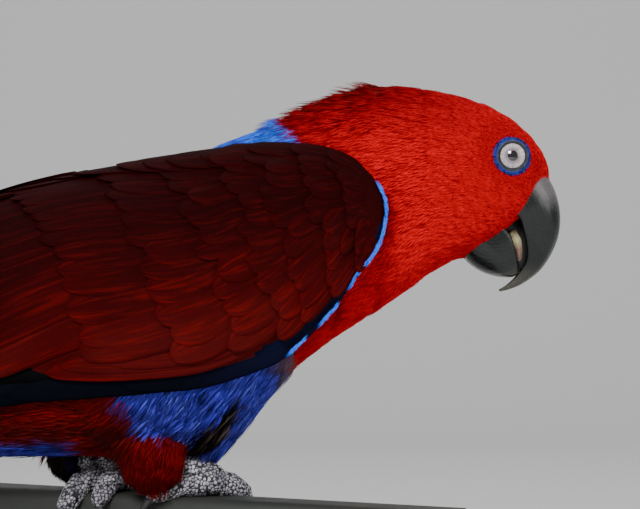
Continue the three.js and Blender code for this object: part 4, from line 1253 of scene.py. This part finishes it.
mouthPiece = makeMouth()
setMaterial(mouthPiece, mouthMaterial())
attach(mouthPiece, "root")
tonguePiece = smoothCopy("tongueFlesh", ["tongue"], 0.35 * mm, 6)
setMaterial(tonguePiece, tongueMaterial())


# Eyes: ball and dark lid rim
def eyeMaterial():
    net = Paint("wetEye")
    x, _, z = net.birdPlace(net.here)
    dx, dz, away = net.aroundEye(x, z)
    turn = net.math("ARCTAN2", dz, dx)
    spokes = net.join(net.math("COSINE", turn) * 6, net.math("SINE", turn) * 6, away * 0.35)
    rays = net.noise(spokes, 1.6, 3.0)
    iris = net.colour(net.step(away, 2.0, 3.6), rgb(120, 104, 108), rgb(196, 188, 190))
    iris = net.colour(net.step(rays, 0.38, 0.62) * 0.55, iris, rgb(134, 116, 122))
    colour = net.colour(net.step(away, eye["pupil"] + 0.12, eye["pupil"] - 0.05), iris, rgb(4, 4, 6))
    colour = net.colour(net.step(away, eye["iris"] - 0.45, eye["iris"] - 0.1), colour, rgb(8, 7, 10))
    return net.finish(colour=colour, rough=0.12, specular=0.6, coat=1.0, coatRough=0.02)


def makeEyes(lidFinish):
    ballFinish = eyeMaterial()
    made = []
    for name, side in sides:
        centre = at(eye["x"], side * eye["centre"], eye["z"])
        bpy.ops.mesh.primitive_uv_sphere_add(segments=64, ring_count=48, radius=eye["ball"] * mm)
        ball = bpy.context.object
        for vertex in ball.data.vertices:
            x, y, z = vertex.co
            vertex.co = Vector((x, side * z, y)) + centre
        ball.name = "eyeBall_" + name
        outward(ball)
        ball.data.shade_smooth()
        setMaterial(ball, ballFinish)
        rings = []
        for a in turns(72):
            out = Vector((math.cos(a), 0, math.sin(a)))
            middle = centre + out * (eye["lid"] * mm) + Vector((0, side * eye["rimOut"] * mm, 0))
            ring = []
            for k, b in enumerate(turns(12)):
                wide = eye["rim"] * (1 + 0.18 * math.sin(9 * a + k))
                level = Vector((0, side * math.sin(b) * wide * mm, 0))
                ring.append(middle + out * (math.cos(b) * wide * mm) + level)
            rings.append(ring)
        rim = ringObject("eyeRim_" + name, rings + [rings[0]], closeEnds=False)
        setMaterial(rim, lidFinish)
        made.append((name, ball, rim))
    return made


eyePieces = makeEyes(lidFinish)


# Feet: the solids run together, with scales raised on them
def scaleTree():
    net, given = newTree("footScales", {"Skin": "Geometry", "Scale": "Float", "Height": "Float",
                                        "Finish": "Material"})
    place = net.get("GeometryNodeInputPosition")
    cells = net.get("ShaderNodeTexVoronoi", {"feature": "DISTANCE_TO_EDGE"}, {
        "Vector": place, "Scale": given["Scale"], "Randomness": 0.9}, "Distance")
    raised = net.step(cells, 0.0, 0.25) * given["Height"]
    skin = store(net, given["Skin"], "groove", "FLOAT", cells)
    shift = net.vector("SCALE", net.get("GeometryNodeInputNormal"), Scale=raised)
    skin = net.get("GeometryNodeSetPosition", None, {"Geometry": skin, "Offset": shift})
    return closeTree(net, skin, given["Finish"])


def footMaterial():
    net = Paint("scalyFoot")
    pale = net.colour(net.step(net.grain(260.0, 3.0), 0.3, 0.7), rgb(116, 112, 122), rgb(184, 180, 188))
    colour = net.colour(net.step(net.attribute("groove"), 0.05, 0.2), rgb(14, 13, 18), pale)
    return net.finish(colour=colour, rough=0.6, specular=0.35,
                      normal=net.bump(net.grain(3000.0), 0.0001, 0.6))


footSizes = {"voxel": 0.36 * mm, "swell": 0.25 * mm, "scale": 800.0, "height": 0.3 * mm}
footFinish = footMaterial()
scales = scaleTree()
footPieces = []
for name, _ in sides:
    source = ["foot_" + name] + ["toe_%s_%d" % (name, i) for i in range(1, 5)]
    piece = smoothCopy("scalyFoot_" + name, source, footSizes["voxel"], 5, footSizes["swell"])
    runTree(piece, scales, {
        "Scale": footSizes["scale"], "Height": footSizes["height"], "Finish": footFinish})
    piece.data.shade_smooth()
    footPieces.append((name, piece, source))
    print("foot", name, len(piece.data.polygons))


# Solids that stay, with finer edges and their own finish
def clawMaterial():
    net = Paint("blackClaw")
    colour = net.colour(net.grain(400.0, 3.0), rgb(12, 12, 14), rgb(40, 38, 40))
    return net.finish(colour=colour, rough=0.28, coat=0.3,
                      normal=net.bump(net.grain(1600.0, 3.0), 0.0001, 0.4))


def railMaterial():
    net = Paint("darkRail")
    z = net.birdPlace(net.here)[2]
    wearAndHighlight = net.step(net.grain(90.0, 5.0, 0.7), 0.62, 0.72) * net.step(z, -3.2, -0.4) * 0.6
    return net.finish(colour=net.colour(wearAndHighlight, rgb(44, 46, 42), rgb(118, 116, 106)), metal=wearAndHighlight,
                      rough=0.42 + net.grain(220.0, 4.0) * 0.25,
                      normal=net.bump(net.grain(900.0, 3.0), 0.00012, 0.5))


def woodMaterial():
    net = Paint("stainedWood")
    rings = net.noise(net.stretched(4, 60, 60), 3.0, 6.0, 0.62)
    colour = net.colour(net.step(rings, 0.3, 0.72), rgb(30, 21, 17), rgb(84, 60, 44))
    return net.finish(colour=colour, rough=0.36 + rings * 0.2, coat=0.2, coatRough=0.25,
                      normal=net.bump(rings, 0.0003, 0.35))


def steelMaterial():
    net = Paint("brushedRod")
    brushed = net.noise(net.stretched(900, 900, 30), 1.0, 3.0)
    return net.finish(colour=net.colour(brushed, rgb(120, 122, 124), rgb(188, 190, 192)), metal=1.0,
                      rough=0.24 + brushed * 0.2, normal=net.bump(brushed, 0.00005, 0.3))


def finishNode(name, material, edge=0.0, rounds=0):
    obj = nodes[name]
    setMaterial(obj, material)
    modifier(obj, "WELD", merge_threshold=0.00001)
    if edge:
        modifier(obj, "BEVEL", width=edge, segments=3, limit_method="ANGLE", angle_limit=math.radians(50))
    if rounds:
        modifier(obj, "SUBSURF", levels=rounds, render_levels=rounds)
    obj.data.shade_smooth()


claws = clawMaterial()
for name in nodes:
    if name.startswith("claw_"):
        finishNode(name, claws, rounds=2)
finishNode("perch_rail", railMaterial(), edge=0.0004)
finishNode("stand_base", woodMaterial(), edge=0.0006)
rodFinish = steelMaterial()
for name in ("stand_rod_front", "stand_rod_rear"):
    finishNode(name, rodFinish, edge=0.0004)

# What moves with what, and the solids hidden where finer pieces take their place
for piece in lidPieces:
    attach(piece, "root")
for piece in [skin, *coatPieces]:
    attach(piece, "root")
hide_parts("head", "neck", "torso", "thigh_right", "thigh_left")
for piece in coatPieces:
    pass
for name, piece, bed in wingPieces:
    for part in (piece, bed):
        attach(part, "root")
    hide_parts("wing_" + name)
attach(tailPiece, "root")
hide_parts("tail")
for piece, node, slot in ((upperPiece, "bill_upper", "bill"), (lowerPiece, "bill_lower", "bill"),
                          (tonguePiece, "tongue", "tongue")):
    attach(piece, "root")
    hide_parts(node)
for name, ball, rim in eyePieces:
    for part in (ball, rim):
        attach(part, "root")
    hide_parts("eye_" + name)
for name, piece, source in footPieces:
    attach(piece, "root")
    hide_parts(*source)


# Camera, floor and light
view = {"x": 58.6, "y": -900.0, "z": 82.2, "lens": 146.8, "sensor": 36.0}
camera = bpy.data.objects.new("camera", bpy.data.cameras.new("camera"))
bpy.context.scene.collection.objects.link(camera)
camera.location = at(view["x"], view["y"], view["z"])
camera.rotation_euler = (math.radians(90), 0, 0)
camera.data.lens = view["lens"]
camera.data.sensor_width = view["sensor"]
camera.data.clip_start = 0.01
bpy.context.scene.camera = camera


def makeFloor():
    net = Paint("paleFloor")
    net.finish(colour=rgb(226, 226, 224), rough=0.9, specular=0.1)
    behind = net.get("ShaderNodeNewGeometry", None, None, "Backfacing")  # so that no view is hidden
    clear = net.get("ShaderNodeBsdfTransparent")
    both = net.get("ShaderNodeMixShader", None, {0: behind, 1: Val(net, net.shader.outputs[0]), 2: clear})
    net.put(net.tree.nodes["Material Output"].inputs["Surface"], both)
    bend, rise = 1.1, 0.6
    profile = [(-3.0, 0.0), (bend, 0.0)]
    profile += [(bend + rise * math.sin(a), rise - rise * math.cos(a))
                for a in np.linspace(0.05, math.pi / 2, 16)]
    profile += [(1.7, 3.0)]
    points = [(x, y, z) for x in (-4.0, 4.0) for y, z in profile]
    count = len(profile)
    faces = [(i, count + i, count + i + 1, i + 1) for i in range(count - 1)]
    floor = meshObject("studioFloor", points, faces)
    setMaterial(floor, net.material)


def addLight(name, place, aim, size, power):
    light = bpy.data.objects.new(name, bpy.data.lights.new(name, "AREA"))
    bpy.context.scene.collection.objects.link(light)
    light.data.energy, light.data.size = power, size
    light.location = place
    light.rotation_euler = (Vector(aim) - Vector(place)).to_track_quat("-Z", "Y").to_euler()


makeFloor()
middle = (0.0, 0.0, 0.13)
addLight("keyLight", (-0.25, -1.1, 0.7), middle, 0.3, 17.0)
addLight("fillLight", (1.1, -0.8, 0.5), middle, 0.9, 6.0)
addLight("topLight", (0.2, 0.5, 1.3), middle, 0.9, 5.0)
world = bpy.data.worlds.new("studio")
world.use_nodes = True
background = world.node_tree.nodes["Background"]
background.inputs["Color"].default_value = (0.8, 0.82, 0.85, 1)
background.inputs["Strength"].default_value = 0.5
bpy.context.scene.world = world
print("camera and light set")
